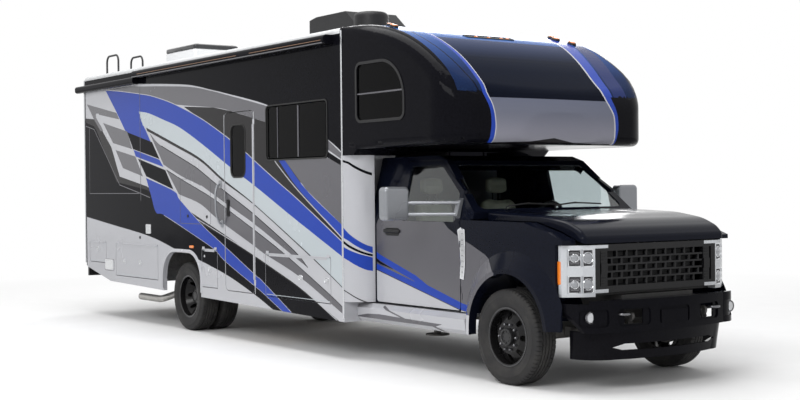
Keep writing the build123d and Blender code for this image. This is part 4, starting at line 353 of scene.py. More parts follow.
def make_materials():
    """Every finish on the vehicle, by its everyday name."""
    p = bpy.context.scene.motorhome_paint
    finish("black_paint", p.black, 0.10, tone=0.25, specular=0.035, dust=0.01)
    finish("cab_paint", p.navy, 0.15, tone=0.25, specular=0.10, dust=0.01)
    finish("silver_paint", p.silver, 0.24, metal=0.15, coat=0.15, tone=0.03, grain=220, dust=0.1)
    finish("pale_paint", p.pale, 0.24, metal=0.15, coat=0.25, tone=0.03, grain=220, dust=0.08)
    finish("grey_paint", p.grey, 0.24, metal=0.2, coat=0.25, tone=0.06, grain=220, dust=0.06)
    finish("charcoal_paint", p.charcoal, 0.22, tone=0.12, grain=220,
           specular=0.12, dust=0.05)
    finish("blue_paint", p.blue, 0.18, tone=0.07, grain=180, specular=0.14, dust=0.03)
    # Painted sky reflection: the crown brightens from near black to blue towards the top.
    painted_light_by_height("crown_paint", ((2.45, (0.004, 0.004, 0.009)), (2.80, (0.010, 0.016, 0.055)),
                                 (3.12, (0.020, 0.060, 0.22)), (3.35, (0.060, 0.19, 0.52))))
    # The black panel of the crown turns blue towards the top: a painted sky reflection.
    painted_light_by_height("gloss_black", ((2.50, (0.003, 0.003, 0.004)), (2.95, (0.003, 0.005, 0.012)),
                                 (3.15, (0.012, 0.025, 0.08)), (3.25, (0.02, 0.04, 0.12))))
    # The cap's silver panel darkens towards its top: painted shading.
    painted_light_by_height("cap_silver", ((2.12, (0.30, 0.30, 0.34)), (2.25, (0.26, 0.26, 0.31)),
                                (2.42, (0.17, 0.18, 0.23)), (2.56, (0.13, 0.14, 0.19))))
    finish("deep_blue", (0.008, 0.020, 0.11), 0.2, tone=0.1, grain=160, specular=0.1)
    finish("chassis_paint", (0.012, 0.012, 0.013), 0.5, tone=0.4, grain=30, bump=0.2, dust=0.3)
    finish("axle_iron", (0.03, 0.03, 0.031), 0.6, tone=0.35, grain=40, bump=0.5,
           bump_scale=150, dust=0.35)
    finish("bare_iron", (0.10, 0.10, 0.10), 0.55, metal=0.7, tone=0.25, grain=40, bump=0.5,
           bump_scale=120)
    finish("aluminised_steel", (0.42, 0.41, 0.39), 0.38, metal=0.9, tone=0.15, grain=25,
           stretch=(0.3, 1, 1))
    finish("tank_plastic", (0.014, 0.014, 0.015), 0.55, tone=0.3, bump=0.3, dust=0.3)
    finish("black_plastic", (0.010, 0.010, 0.011), 0.45, tone=0.25, bump=0.3, bump_scale=600,
           specular=0.3)
    finish("grille_black", (0.006, 0.006, 0.007), 0.18, tone=0.3, specular=0.3)
    finish("wheel_black", (0.005, 0.005, 0.006), 0.2, tone=0.3, specular=0.2, dust=0.03)
    finish("white_plastic", (0.68, 0.69, 0.70), 0.35, tone=0.04, bump=0.15)
    finish("roof_membrane", (0.62, 0.63, 0.64), 0.6, tone=0.06, grain=12, bump=0.3, bump_scale=90)
    finish("mirror_silver", (0.25, 0.26, 0.28), 0.28, metal=0.5, coat=0.2, tone=0.05, grain=200)
    finish("dark_chrome", (0.16, 0.16, 0.17), 0.22, metal=0.9, tone=0.1, grain=120)
    # Lighter black for the rims' edges: a painted highlight.
    finish("wheel_edge", (0.03, 0.03, 0.032), 0.25, coat=0.2, tone=0.2, specular=0.4)
    finish("hub_black", (0.012, 0.012, 0.013), 0.3, tone=0.25, grain=90, specular=0.4)
    finish("chrome", (0.72, 0.73, 0.75), 0.08, metal=1.0, tone=0.03, vary=0.03)
    finish("bright_aluminium", (0.62, 0.63, 0.65), 0.25, metal=0.9, tone=0.06, stretch=(0.2, 1, 1))
    finish("sealing_rubber", (0.01, 0.01, 0.01), 0.7, tone=0.3, bump=0.3)
    finish("interior_plastic", (0.03, 0.03, 0.033), 0.6, tone=0.2, bump=0.4, bump_scale=500)
    finish("red_lens", (0.42, 0.008, 0.008), 0.12, coat=0.5, tone=0.15, grain=140)
    finish("amber_lens", (0.85, 0.22, 0.02), 0.14, coat=0.5, tone=0.12, grain=140)
    finish("lid_smoke", (0.022, 0.023, 0.026), 0.15, coat=0.3, tone=0.2, grain=60)
    finish("copper_line", (0.30, 0.17, 0.10), 0.3, metal=0.9, tone=0.1, grain=90)
    finish("lens_grey", (0.30, 0.31, 0.33), 0.06, metal=0.4, coat=0.6, tone=0.1, grain=150)
    finish("lamp_glass", (0.55, 0.56, 0.58), 0.05, metal=0.3, coat=0.6, tone=0.1, grain=150)
    finish("lamp_white", (0.56, 0.58, 0.61), 0.14, coat=0.5, tone=0.05, grain=100)
    glass("dark_glass", (0.008, 0.008, 0.010), 0.01, 0.9, 1.13)
    glass("clear_glass", (0.72, 0.78, 0.79), 0.0)
    rubber("tyre_rubber")
    leather("cream_leather", (0.56, 0.54, 0.42))
    plywood("floor_board")
    galvanised("galvanised_sheet")


NODE_FINISH = {
    "chassis_paint": ("chassis_frame", "front_support", "ladder"),
    "axle_iron": ("front_axle", "rear_axle", "knuckle_left", "knuckle_right"),
    "bare_iron": ("engine_block",),
    "aluminised_steel": ("exhaust",),
    "tank_plastic": ("fuel_tank",),
    "tyre_rubber": ("tyre_front_left", "tyre_front_right", "tyres_rear_left", "tyres_rear_right"),
    "wheel_black": ("wheel_front_left", "wheel_front_right", "wheels_rear_left",
                    "wheels_rear_right"),
    "cab_paint": ("cab_shell", "cab_door_left", "cab_door_right", "hood", "front_fenders"),
    "black_paint": ("overcab_cap", "cap_pan", "awnings", "wall_rear", "front_bumper",
                    "front_valance"),
    "silver_paint": ("wall_left", "wall_right", "entry_door", "bag_door_front_left",
                     "bag_door_front_right", "bag_door_mid_right", "bag_door_rear_left",
                     "bag_door_rear_right", "bag_door_tail_right", "running_boards",
                     "cab_surround"),
    "black_plastic": ("rear_bumper", "window_frames", "roof_units"),
    "grille_black": ("grille",),
    "lamp_white": ("headlamps",),
    "red_lens": ("tail_lamps",),
    "white_plastic": ("roof_vent",),
    "roof_membrane": ("roof",),
    "mirror_silver": ("mirror_left", "mirror_right"),
    "interior_plastic": ("dashboard",),
    "cream_leather": ("cab_seats",),
    "floor_board": ("coach_floor",),
    "galvanised_sheet": ("baggage_bins",),
    "dark_glass": ("coach_windows", "entry_door_glass"),
    "clear_glass": ("windshield", "cab_door_glass_left", "cab_door_glass_right"),
}


class MOTORHOME_OT_finishes(bpy.types.Operator):
    """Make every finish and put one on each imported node"""

    bl_idname = "motorhome.finishes"
    bl_label = "Finishes"

    def execute(self, context):
        make_materials()
        for name, nodes in NODE_FINISH.items():
            for node in nodes:
                slots = NODES[node].data.materials
                slots.clear()
                slots.append(MATERIALS[name])
        bare = set(NODES) - set(sum(NODE_FINISH.values(), ()))
        if bare:
            raise RuntimeError(f"nodes without a finish: {sorted(bare)}")
        return {"FINISHED"}


# ---------------------------------------------------------------- mesh makers
def put(name, verts, faces, mats, body=BODY, smooth=40.0, index=None, closed=True):
    """Mesh object from whole arrays; faces is one array or a list of arrays of quads or triangles.

    Doubled points are merged, the normals of a closed piece are turned outwards, and edges
    sharper than smooth degrees stay sharp.
    """
    groups = faces if isinstance(faces, list) else [faces]
    rows = [row for group in groups for row in np.asarray(group).tolist()]
    mesh = bpy.data.meshes.new(name)
    mesh.from_pydata(np.asarray(verts, float).reshape(-1, 3).tolist(), [], rows)
    for mat in mats if isinstance(mats, (list, tuple)) else (mats,):
        mesh.materials.append(MATERIALS[mat])
    if index is not None:
        mesh.polygons.foreach_set("material_index", np.asarray(index, np.int32))
    work = bmesh.new()
    work.from_mesh(mesh)
    bmesh.ops.remove_doubles(work, verts=work.verts, dist=0.00002)
    if closed:
        bmesh.ops.recalc_face_normals(work, faces=work.faces)
    work.to_mesh(mesh)
    work.free()
    mesh.polygons.foreach_set("use_smooth", np.ones(len(mesh.polygons), bool))
    mesh.set_sharp_from_angle(angle=math.radians(smooth))
    mesh.update()
    piece = bpy.data.objects.new(name, mesh)
    bpy.context.scene.collection.objects.link(piece)
    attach(piece, body)
    return piece


def quads(rows, cols, wrap_rows=False, wrap_cols=False):
    """Faces of a grid of points laid out row by row, wrapped round where asked."""
    index = np.arange(rows * cols).reshape(rows, cols)
    if wrap_rows:
        index = np.vstack([index, index[:1]])
    if wrap_cols:
        index = np.hstack([index, index[:, :1]])
    corners = [index[:-1, :-1], index[1:, :-1], index[1:, 1:], index[:-1, 1:]]
    return np.stack(corners, -1).reshape(-1, 4)


def flow(points, steps=8):
    """Smooth line through points: each span is a Catmull-Rom cubic cut into steps."""
    p = np.asarray(points, float)
    if len(p) < 3:
        return p
    ends = np.vstack([2 * p[0] - p[1], p, 2 * p[-1] - p[-2]])
    t = np.linspace(0, 1, steps, endpoint=False)[None, :, None]
    a, b, c, d = (ends[i:len(p) - 1 + i, None, :] for i in range(4))
    curve = 0.5 * (2 * b + (c - a) * t + (2 * a - 5 * b + 4 * c - d) * t**2
                   + (3 * b - a - 3 * c + d) * t**3)
    return np.vstack([curve.reshape(-1, p.shape[1]), p[-1:]])


def lathe(centre, profile, turns=48, axis=(0, 1, 0), up=(0, 0, 1)):
    """Points and faces of a profile of (radius, along the axis) turned round the axis."""
    axis, up = np.asarray(axis, float), np.asarray(up, float)
    across = np.cross(axis, up)
    a = np.linspace(0, 2 * np.pi, turns, endpoint=False)
    round_ = np.cos(a)[:, None] * up + np.sin(a)[:, None] * across
    prof = np.asarray(profile, float)
    p = (np.asarray(centre, float) + prof[None, :, 1, None] * axis
         + prof[None, :, 0, None] * round_[:, None, :])
    return p.reshape(-1, 3), quads(turns, len(prof), wrap_rows=True)


def tube(path, radius, around=10, ends=True):
    """Round bar along a path: a ring square to the path at each point, closed at its ends."""
    p = np.asarray(path, float)
    r = np.broadcast_to(np.asarray(radius, float), (len(p),))
    t = np.gradient(p, axis=0)
    t /= np.linalg.norm(t, axis=1)[:, None]
    ref = np.array((0.0, 0.0, 1.0)) if np.abs(t[:, 2]).mean() < 0.8 else np.array((0.0, 1.0, 0.0))
    n = np.cross(t, ref)
    n /= np.linalg.norm(n, axis=1)[:, None]
    b = np.cross(t, n)
    a = np.linspace(0, 2 * np.pi, around, endpoint=False)
    ring = np.cos(a)[None, :, None] * n[:, None, :] + np.sin(a)[None, :, None] * b[:, None, :]
    verts = (p[:, None, :] + r[:, None, None] * ring).reshape(-1, 3)
    faces = [quads(len(p), around, wrap_cols=True)]
    if ends:
        faces += [fan(0, around, len(verts)), fan(len(verts) - around, around, len(verts) + 1)]
        verts = np.vstack([verts, p[:1], p[-1:]])
    return verts, faces


def fan(first, count, hub):
    """Triangles from a ring of count points, starting at first, to one hub point."""
    ring = first + np.arange(count)
    return np.stack([ring, np.roll(ring, -1), np.full(count, hub)], 1)


def merge(*pieces):
    """One set of points and faces from several."""
    verts, faces, at = [], [], 0
    for v, f in pieces:
        v = np.asarray(v, float).reshape(-1, 3)
        faces += [np.asarray(g) + at for g in (f if isinstance(f, list) else [f])]
        verts.append(v)
        at += len(v)
    return np.vstack(verts), faces


def rounded_outline(u, v, radius, steps=5):
    """Points round a rectangle with round corners: four quarter turns."""
    r = min(radius, (u[1] - u[0]) / 2, (v[1] - v[0]) / 2)
    a = np.linspace(0, np.pi / 2, steps)
    turn = np.stack([np.cos(a), np.sin(a)], 1) * r
    corners = ((u[1] - r, v[1] - r, 0), (u[0] + r, v[1] - r, 1), (u[0] + r, v[0] + r, 2),
               (u[1] - r, v[0] + r, 3))
    out = []
    for cu, cv, k in corners:
        c, s = round(math.cos(k * math.pi / 2)), round(math.sin(k * math.pi / 2))
        out.append(turn @ np.array([[c, s], [-s, c]]) + (cu, cv))
    return np.vstack(out)


def inset(outline, amount):
    """Closed outline moved inwards by amount, square to its edges at each point."""
    o = np.asarray(outline, float)
    before, after = o - np.roll(o, 1, 0), np.roll(o, -1, 0) - o
    before /= np.linalg.norm(before, axis=1)[:, None] + 1e-12
    after /= np.linalg.norm(after, axis=1)[:, None] + 1e-12
    n = np.stack([-(before + after)[:, 1], (before + after)[:, 0]], 1)
    n /= np.linalg.norm(n, axis=1)[:, None] + 1e-12
    half = np.clip((n * np.stack([-after[:, 1], after[:, 0]], 1)).sum(1), 0.4, 1)
    return o + n * (amount / half)[:, None]


def plate(outline, profile, origin, u, v, n):
    """Cover on a plane: its outline is carried up a profile of (inset, height) and closed."""
    o, u, v, n = (np.asarray(x, float) for x in (outline, u, v, n))
    rings = [inset(o, step[0]) for step in profile]
    p = np.stack([np.asarray(origin) + r[:, :1] * u + r[:, 1:] * v + step[1] * n
                  for r, step in zip(rings, profile)])
    verts = p.reshape(-1, 3)
    k = len(o)
    hub = p[-1].mean(0, keepdims=True)
    base = p[0].mean(0, keepdims=True)
    faces = [quads(len(profile), k, wrap_cols=True), fan(len(verts) - k, k, len(verts)),
             fan(0, k, len(verts) + 1)]
    return np.vstack([verts, hub, base]), faces


# Planes that flat pieces are laid on: origin, across, up, outwards
def wall_plane(sign, y):
    """Upright plane along a side: its origin, along X, up, and outward."""
    return (0.0, sign * y, 0.0), (1, 0, 0), (0, 0, 1), (0, sign, 0)


def front_plane(x):
    """Upright plane across the front: its origin, across to the left, up, and forward."""
    return (x, 0.0, 0.0), (0, 1, 0), (0, 0, 1), (1, 0, 0)


# ---------------------------------------------------------------- livery
def mm(*points):
    """Points given in millimetres, as an array in metres."""
    return np.array(points, float) / 1000


def band(upper, lower, smooth=True):
    """Closed outline between an upper and a lower edge, each a smooth line."""
    top = flow(mm(*upper)) if smooth else mm(*upper)
    low = flow(mm(*lower)) if smooth else mm(*lower)
    return np.vstack([top, low[::-1]])


def line(points, width, smooth=True):
    """Thin stripe of a given width along points, measured square to them."""
    p = flow(mm(*points)) if smooth else mm(*points)
    t = np.gradient(p, axis=0)
    t /= np.linalg.norm(t, axis=1)[:, None]
    n = np.stack([-t[:, 1], t[:, 0]], 1) * width / 2000
    return np.vstack([p + n, (p - n)[::-1]])


BLACK_LOW = ((-5010, 3160), (-3485, 3145), (-2915, 3110), (-2340, 3070), (-1610, 3005),
             (-1020, 2905), (-680, 2845), (245, 2665), (1000, 2440), (1545, 2225), (1900, 2040))
GREY_TOP = ((-4300, 3112), (-3480, 3115), (-2925, 3080), (-2185, 3030), (-1535, 2975),
            (-1020, 2893), (-680, 2830), (245, 2650), (600, 2560))
WEDGE_TOP = ((-1770, 2752), (-1615, 2742), (-1000, 2700), (-565, 2635), (-80, 2535), (245, 2470),
             (600, 2380))
BLUE_TOP = ((-4210, 3110), (-3700, 3062), (-3060, 2985), (-2675, 2930), (-2070, 2800),
            (-1350, 2590), (-745, 2365), (-210, 2140), (-45, 2060), (500, 1805), (930, 1610),
            (1780, 1192))
BLUE_LOW = ((-3115, 2765), (-2810, 2725), (-2365, 2620), (-1915, 2505), (-1355, 2300), (-580, 1985),
            (-5, 1765), (795, 1437), (1780, 1045))
PALE_LOW = ((-3115, 2765), (-3015, 2610), (-2890, 2545), (-2085, 2322), (-1360, 2112), (-760, 1852),
            (-55, 1578), (1060, 1085), (1620, 820), (1850, 700))
BAND_LOW = ((-2790, 2470), (-2445, 2295), (-1635, 2055), (-1365, 1965), (-765, 1725), (-60, 1460),
            (830, 1075), (1110, 905))
UPPER_GREY_LOW = ((-2380, 2055), (-1860, 1900), (-1370, 1785), (-920, 1630), (-15, 1335),
                  (700, 1060), (1110, 905))
LOWER_GREY_TOP = ((-2305, 1990), (-1860, 1860), (-1370, 1725), (-945, 1600), (-85, 1295),
                  (655, 1020), (1555, 640), (1850, 500))
LOWER_GREY_LOW = ((-1950, 1680), (-1375, 1565), (-900, 1380), (-65, 1105), (185, 1020), (970, 790),
                  (1850, 440))
LOW_BLUE_TOP = ((-2915, 1895), (-2090, 1720), (-1920, 1610), (-1305, 1300), (-845, 1110),
                (-35, 775), (125, 715), (760, 410))
LOW_BLUE_LOW = ((-2770, 1675), (-2625, 1455), (-2385, 1420), (-1655, 1220), (-1025, 1035),
                (-750, 905), (-35, 650), (120, 595), (600, 400))
SKIRT_TOP = ((-5010, 1375), (-4115, 1280), (-2815, 1140), (-1995, 985), (-1660, 935), (-760, 755),
             (-80, 565), (420, 395))
THIN_BLUE_TOP = ((560, 2110), (655, 2040), (1095, 1720), (1780, 1365))
THIN_BLUE_LOW = ((470, 2080), (525, 2040), (950, 1720), (1780, 1240))


def wall_shapes():
    """Stripes of a side wall in painting order: finish and outline in X, Z."""
    dark_low = ((-5010, 1200), (-1000, 500), (1850, 300))
    return [
        ("charcoal_paint", band(((-5010, 2770), (-4640, 2738), (-4515, 2700), (-4030, 2325),
                                 (-3760, 1925), (-2885, 1785), (-2400, 1640), (-1750, 1500),
                                 (-800, 1225), (-70, 1000), (905, 705), (1725, 385), (1850, 340)),
                                dark_low, False)),
        ("black_paint", band(((-5010, 2720), (-4640, 2640), (-4560, 2590), (-3860, 1850),
                              (-2885, 1740), (-2400, 1600), (-1750, 1420), (-800, 1190),
                              (-70, 985), (905, 690), (1725, 375), (1850, 330)), dark_low, False)),
        ("silver_paint", line(((-1750, 1460), (-800, 1205), (-70, 1003), (905, 705), (1670, 395)), 9)),
        ("grey_paint", band(GREY_TOP, ((-4210, 3108),) + BLUE_TOP[1:5]
                            + WEDGE_TOP[2:])),
        ("charcoal_paint", band(WEDGE_TOP + ((900, 2300), (1000, 1700), (1780, 1225)),
                                ((-1770, 2745),) + BLUE_TOP[5:], False)),
        ("black_paint", band(((-5010, 3500), (1900, 3500)), BLACK_LOW)),
        ("grey_paint", band(THIN_BLUE_TOP[1:], ((1000, 2250), (1515, 2047), (1840, 1957),
                                                (1850, 1300)), False)),
        ("black_paint", band(((1400, 2200), (1525, 2110), (1835, 1990)),
                             ((1400, 2100), (1515, 2050), (1835, 1942)), False)),
        ("grey_paint", band(((1400, 2280), (1540, 2222), (1840, 2055)),
                            ((1400, 2200), (1545, 2122), (1840, 2000)), False)),
        ("silver_paint", line(((415, 2060), (525, 1975), (930, 1712), (1790, 1228)), 12)),
        ("blue_paint", band(THIN_BLUE_TOP, THIN_BLUE_LOW)),
        ("silver_paint", line(((-4210, 3116),) + BLUE_TOP[1:], 18)),
        ("blue_paint", band(BLUE_TOP, BLUE_LOW)),
        ("blue_paint", band(((-4210, 3110), (-3845, 2795), (-3580, 2550), (-3450, 2460)),
                            ((-3060, 2985), (-3015, 2610), (-2890, 2495), (-2700, 2300)), False)),
        ("pale_paint", band(BLUE_LOW, PALE_LOW)),
        ("charcoal_paint", band(PALE_LOW[2:], ((-2865, 2500), (-2085, 2285), (-1365, 2080),
                                               (-785, 1832), (-55, 1563), (1060, 1070), (1620, 808),
                                               (1850, 690)))),
        ("grey_paint", band(BAND_LOW, UPPER_GREY_LOW)),
        ("grey_paint", band(LOWER_GREY_TOP, LOWER_GREY_LOW)),
        ("black_paint", line(BAND_LOW[1:], 10)),
        ("black_paint", line(LOWER_GREY_TOP, 9)),
        ("silver_paint", band(((-1350, 1790), (-900, 1635), (-15, 1340)), ((-1350, 1730), (-945, 1604),
                                                                       (-85, 1300)), False)),
        # Chevrons at the rear
        ("grey_paint", band(((-4885, 2960), (-3845, 2785), (-3700, 2640)),
                            ((-4885, 2960), (-4690, 2825), (-3740, 2690)), False)),
        ("grey_paint", band(((-4885, 2960), (-4560, 2810), (-4310, 2560)),
                            ((-4885, 2960), (-4640, 2740), (-4400, 2560)), False)),
        ("silver_paint", band(((-4560, 2810), (-4470, 2810), (-3915, 2320), (-3620, 2015),
                               (-2960, 1890)), ((-4560, 2760), (-4470, 2690), (-3975, 2345),
                                                (-3705, 1960), (-2890, 1785)), False)),
        ("grey_paint", band(((-4310, 2670), (-3495, 2520)), ((-3970, 2380), (-3340, 2280)), False)),
        ("grey_paint", band(((-3890, 2285), (-3240, 2180)), ((-3650, 2035), (-3010, 1915)), False)),
        ("black_paint", band(((-3495, 2510), (-2715, 2350)), ((-3315, 2280), (-2500, 2130)), False)),
        ("blue_paint", band(((-3300, 2270), (-2500, 2120)), ((-3230, 2180), (-2380, 2025)), False)),
        ("black_paint", band(((-3160, 2150), (-2330, 1985)), ((-2905, 1915), (-2100, 1740)), False)),
        ("silver_paint", line(LOW_BLUE_TOP, 12)),
        ("silver_paint", line(LOW_BLUE_LOW[2:], 10)),
        ("blue_paint", band(LOW_BLUE_TOP, LOW_BLUE_LOW)),
        # Outline of the dark panel at the rear
        ("grey_paint", line(((-4805, 2625), (-4815, 1698), (-3145, 1695)), 9, False)),
        ("grey_paint", line(((-5010, 2668), (-4635, 2595), (-3765, 1812), (-3120, 1700),
                             (-2800, 1640)), 11, False)),
        ("silver_paint", band(SKIRT_TOP, ((-5010, 200), (420, 200)))),
    ]


def cab_shapes():
    """Stripes of the cab door, the fender's rear and the running board, in X, Z."""
    return [
        ("grey_paint", band(((1800, 2600), (2050, 1990), (2300, 1430), (3130, 1430), (3230, 1350),
                             (3415, 1262), (3565, 1210), (3770, 1125), (3990, 975)),
                            ((1800, 300), (3990, 300)), False)),
        ("silver_paint", band(((1800, 1000), (2105, 900), (2635, 778), (3425, 600), (3640, 575)),
                              ((1800, 200), (3640, 200)), False)),
        ("blue_paint", band(((2000, 1115), (2105, 1068), (2705, 890), (2900, 805), (3420, 672),
                             (3585, 640)),
                            ((2000, 930), (2105, 907), (2635, 785), (3420, 605), (3615, 582)),
                            False)),
        ("grey_paint", band(((2000, 1050), (2105, 1008), (2395, 917), (2690, 832)),
                            ((2000, 985), (2105, 962), (2395, 895), (2690, 828)), False)),
        ("black_paint", band(((2000, 1050), (2105, 1000), (2325, 937)),
                             ((2000, 1015), (2105, 975), (2325, 932)), False)),
        ("charcoal_paint", band(((2000, 930), (2105, 905), (3420, 603)),
                                ((2000, 922), (2105, 898), (3420, 597)), False)),
    ]


def surround_shapes():
    """Stripes over the slanted panels between the coach and the cab, in X, Z."""
    return [
        ("blue_paint", band(((1800, 1350), (1862, 1280), (1990, 1160), (2060, 1105)),
                            ((1800, 1240), (1862, 1205), (1990, 1100), (2060, 1030)), False)),
        ("black_paint", band(((1800, 1215), (1862, 1168), (1990, 1082), (2060, 1040)),
                             ((1800, 1185), (1862, 1140), (1990, 1060), (2060, 1015)), False)),
        ("blue_paint", band(((1800, 1150), (1862, 1115), (1990, 1052), (2060, 1000)),
                            ((1800, 1040), (1862, 1005), (1990, 910), (2060, 880)), False)),
        ("black_paint", line(((1800, 2010), (1870, 1985), (2110, 1790)), 22, False)),
        ("charcoal_paint", line(((1800, 715), (1860, 680), (2060, 535)), 10, False)),
    ]


def board_shapes():
    """Dark flashes of the running boards, in X, Z."""
    return [
        ("grey_paint", band(((1770, 442), (2000, 478), (2210, 487), (2610, 477), (3235, 465)),
                            ((1770, 438), (2575, 435), (3120, 433)), False)),
        ("grey_paint", line(((2240, 565), (2645, 468)), 16, False)),
        ("grey_paint", line(((3090, 440), (3300, 372)), 22, False)),
    ]


def facing_triangles(node, facing, limit, keep):
    """Corner points of an object's triangles that face one way and pass the keep test."""
    mesh = node.data
    mesh.calc_loop_triangles()
    index = np.zeros(len(mesh.loop_triangles) * 3, np.int32)
    mesh.loop_triangles.foreach_get("vertices", index)
    co = np.zeros(len(mesh.vertices) * 3)
    mesh.vertices.foreach_get("co", co)
    tri = co.reshape(-1, 3)[index].reshape(-1, 3, 3)
    n = np.cross(tri[:, 1] - tri[:, 0], tri[:, 2] - tri[:, 0])
    size = np.linalg.norm(n, axis=1)
    n /= size[:, None] + 1e-15
    ok = (size > 1e-9) & (n @ np.asarray(facing, float) > limit)
    if keep is not None:
        ok &= keep(tri)
    return tri[ok], n[ok]


def anticlockwise(points, loop):
    """The loop, reversed if its signed area is negative."""
    p = points[loop]
    q = np.roll(p, -1, 0)
    return loop if (p[:, 0] * q[:, 1] - p[:, 1] * q[:, 0]).sum() > 0 else loop[::-1]


def skin(name, node, facing, unfold, shapes, base, lift, body, limit=0.3, keep=None):
    """Film over a node's outer face, cut along the edges of the stripes.

    The node's triangles are laid flat by unfold, a constrained Delaunay triangulation cuts
    them and the stripes into one set of cells, each cell takes the finish of the last stripe
    over it, and its corners go back to the node's surface by barycentric coordinates, moved
    out by lift.
    """
    tri, normal = facing_triangles(SURFACES.get(node) or NODES[node], facing, limit, keep)
    if not len(tri):
        raise RuntimeError(f"{node} has no face that way")
    flat = unfold(tri)
    points, at = np.unique(np.round(flat.reshape(-1, 2), 5), axis=0, return_inverse=True)
    at = at.reshape(-1, 3)
    low, high = points.min(0) - 0.01, points.max(0) + 0.01
    loops = [anticlockwise(points, list(map(int, t))) for t in at]
    verts = [Vector(p) for p in points]
    used = []
    for which, outline in shapes:
        if (outline.max(0) < low).any() or (outline.min(0) > high).any():
            continue
        loop = np.arange(len(outline))
        loops.append([len(verts) + i for i in anticlockwise(outline, loop.tolist())])
        verts += [Vector(p) for p in outline]
        used.append(which)
    out = delaunay_2d_cdt(verts, [], loops, 1, 1e-6)
    new_points, cells, origins = np.array([v[:] for v in out[0]]), out[2], out[5]
    names = sorted({base} | set(used))
    reach = tri.mean(1) @ np.asarray(facing, float)
    picked, which, corners = [], [], []
    for cell, origin in zip(cells, origins):
        own = [i for i in origin if i < len(tri)]
        if not own or len(cell) < 3:
            continue
        top = max((i for i in origin if i >= len(tri)), default=None)
        finish_name = base if top is None else used[top - len(tri)]
        source = max(own, key=lambda i: reach[i])
        for k in range(1, len(cell) - 1):
            picked.append(source)
            which.append(names.index(finish_name))
            corners.append((cell[0], cell[k], cell[k + 1]))
    picked, corners = np.array(picked), np.array(corners)
    p = new_points[corners]
    a, b, c = (flat[picked, k][:, None, :] for k in range(3))
    ab, ac, ap = b - a, c - a, p - a
    area = ab[..., 0] * ac[..., 1] - ab[..., 1] * ac[..., 0]
    s = (ap[..., 0] * ac[..., 1] - ap[..., 1] * ac[..., 0]) / area
    t = (ab[..., 0] * ap[..., 1] - ab[..., 1] * ap[..., 0]) / area
    t3 = tri[picked]
    solid = (t3[:, None, 0] * (1 - s - t)[..., None] + t3[:, None, 1] * s[..., None]
             + t3[:, None, 2] * t[..., None])
    solid = solid + lift * np.asarray(facing, float)
    turn = np.einsum("ij,ij->i", np.cross(solid[:, 1] - solid[:, 0], solid[:, 2] - solid[:, 0]),
                     normal[picked]) < 0
    solid[turn] = solid[turn][:, ::-1]
    faces = np.arange(len(solid) * 3).reshape(-1, 3)
    return put(name, solid, faces, names, body, 20.0, which, closed=False)


def side_view(tri):
    """Lay triangles flat in X, Z."""
    return tri[..., (0, 2)]


def body_of(node):
    """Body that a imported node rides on."""
    return NODES[node]["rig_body"]


class MOTORHOME_OT_livery(bpy.types.Operator):
    """Lay the stripes over both walls, their doors, the cab's sides and the running boards"""

    bl_idname = "motorhome.livery"
    bl_label = "Livery"

    def execute(self, context):
        film = context.scene.motorhome_trim.film
        walls = wall_shapes()
        for side, sign in SIDES:
            facing = (0, sign, 0)
            flush = lambda tri: (np.abs(tri[..., 1] * sign - WALL_Y) < 0.0006).all(1)
            nodes = [n for n in NODES if n == f"wall_{side}" or
                     (n.startswith("bag_door") and n.endswith(side))]
            if sign < 0:
                nodes.append("entry_door")
            for node in nodes:
                skin(f"livery_{node}", node, facing, side_view, walls, "silver_paint", film,
                     body_of(node), 0.9, flush)
            cab = cab_shapes()
            skin(f"livery_cab_door_{side}", f"cab_door_{side}", facing, side_view, cab, "cab_paint",
                 film, f"cab_door_{side}", 0.5)
            near = lambda tri: (tri[..., 1] * sign > 0.90).all(1) & (tri[..., 0] < 4.2).all(1)
            skin(f"livery_fender_{side}", "front_fenders", facing, side_view, cab, "cab_paint", film,
                 BODY, 0.45, near)
            near_side = lambda tri: (tri[..., 1] * sign > 0.3).all(1)
            skin(f"livery_surround_{side}", "cab_surround", facing, side_view, surround_shapes(),
                 "silver_paint", film, BODY, 0.3, near_side)
            skin(f"livery_board_{side}", "running_boards", facing, side_view, board_shapes(),
                 "silver_paint", film, BODY, 0.3, near_side)
        return {"FINISHED"}


# ---------------------------------------------------------------- the cap's stripes
CROWN = (1.948, 1.150, 2.200)  # middle and radius of the crown in X, Z
NOSE = ((3.362, 2.835), (3.705, 2.540))  # start and end of the sloping brow in X, Z
NOSE_R = 7.11  # radius of the bowed front in plan
NEAR_IN = ((-800, 1700), (-800, 2700), (-815, 2797), (-816, 2997), (-815, 3214), (-825, 3450),
           (-850, 3675), (-856, 3760))
FAR_IN = ((820, 1700), (790, 2700), (756, 2851), (673, 3162), (613, 3438), (608, 3621),
          (617, 3760))
FAR_OUT = ((1060, 1700), (975, 2700), (962, 2760), (837, 3111), (740, 3485), (715, 3760))
FAR_EDGE = ((1130, 1700), (1115, 2600), (1104, 2762), (1080, 2998), (973, 3365), (905, 3760))


def crown_at(x):
    """Height of the cap's profile at a place along it, and its outward direction in X, Z."""
    cx, cz, r = CROWN
    if x < cx:
        return ROOF_Z, (0.0, 1.0)
    if x < NOSE[0][0]:
        z = cz + math.sqrt(r * r - (x - cx) ** 2)
        return z, ((x - cx) / r, (z - cz) / r)
    t = (x - NOSE[0][0]) / (NOSE[1][0] - NOSE[0][0])
    return NOSE[0][1] + t * (NOSE[1][1] - NOSE[0][1]), (0.652, 0.758)


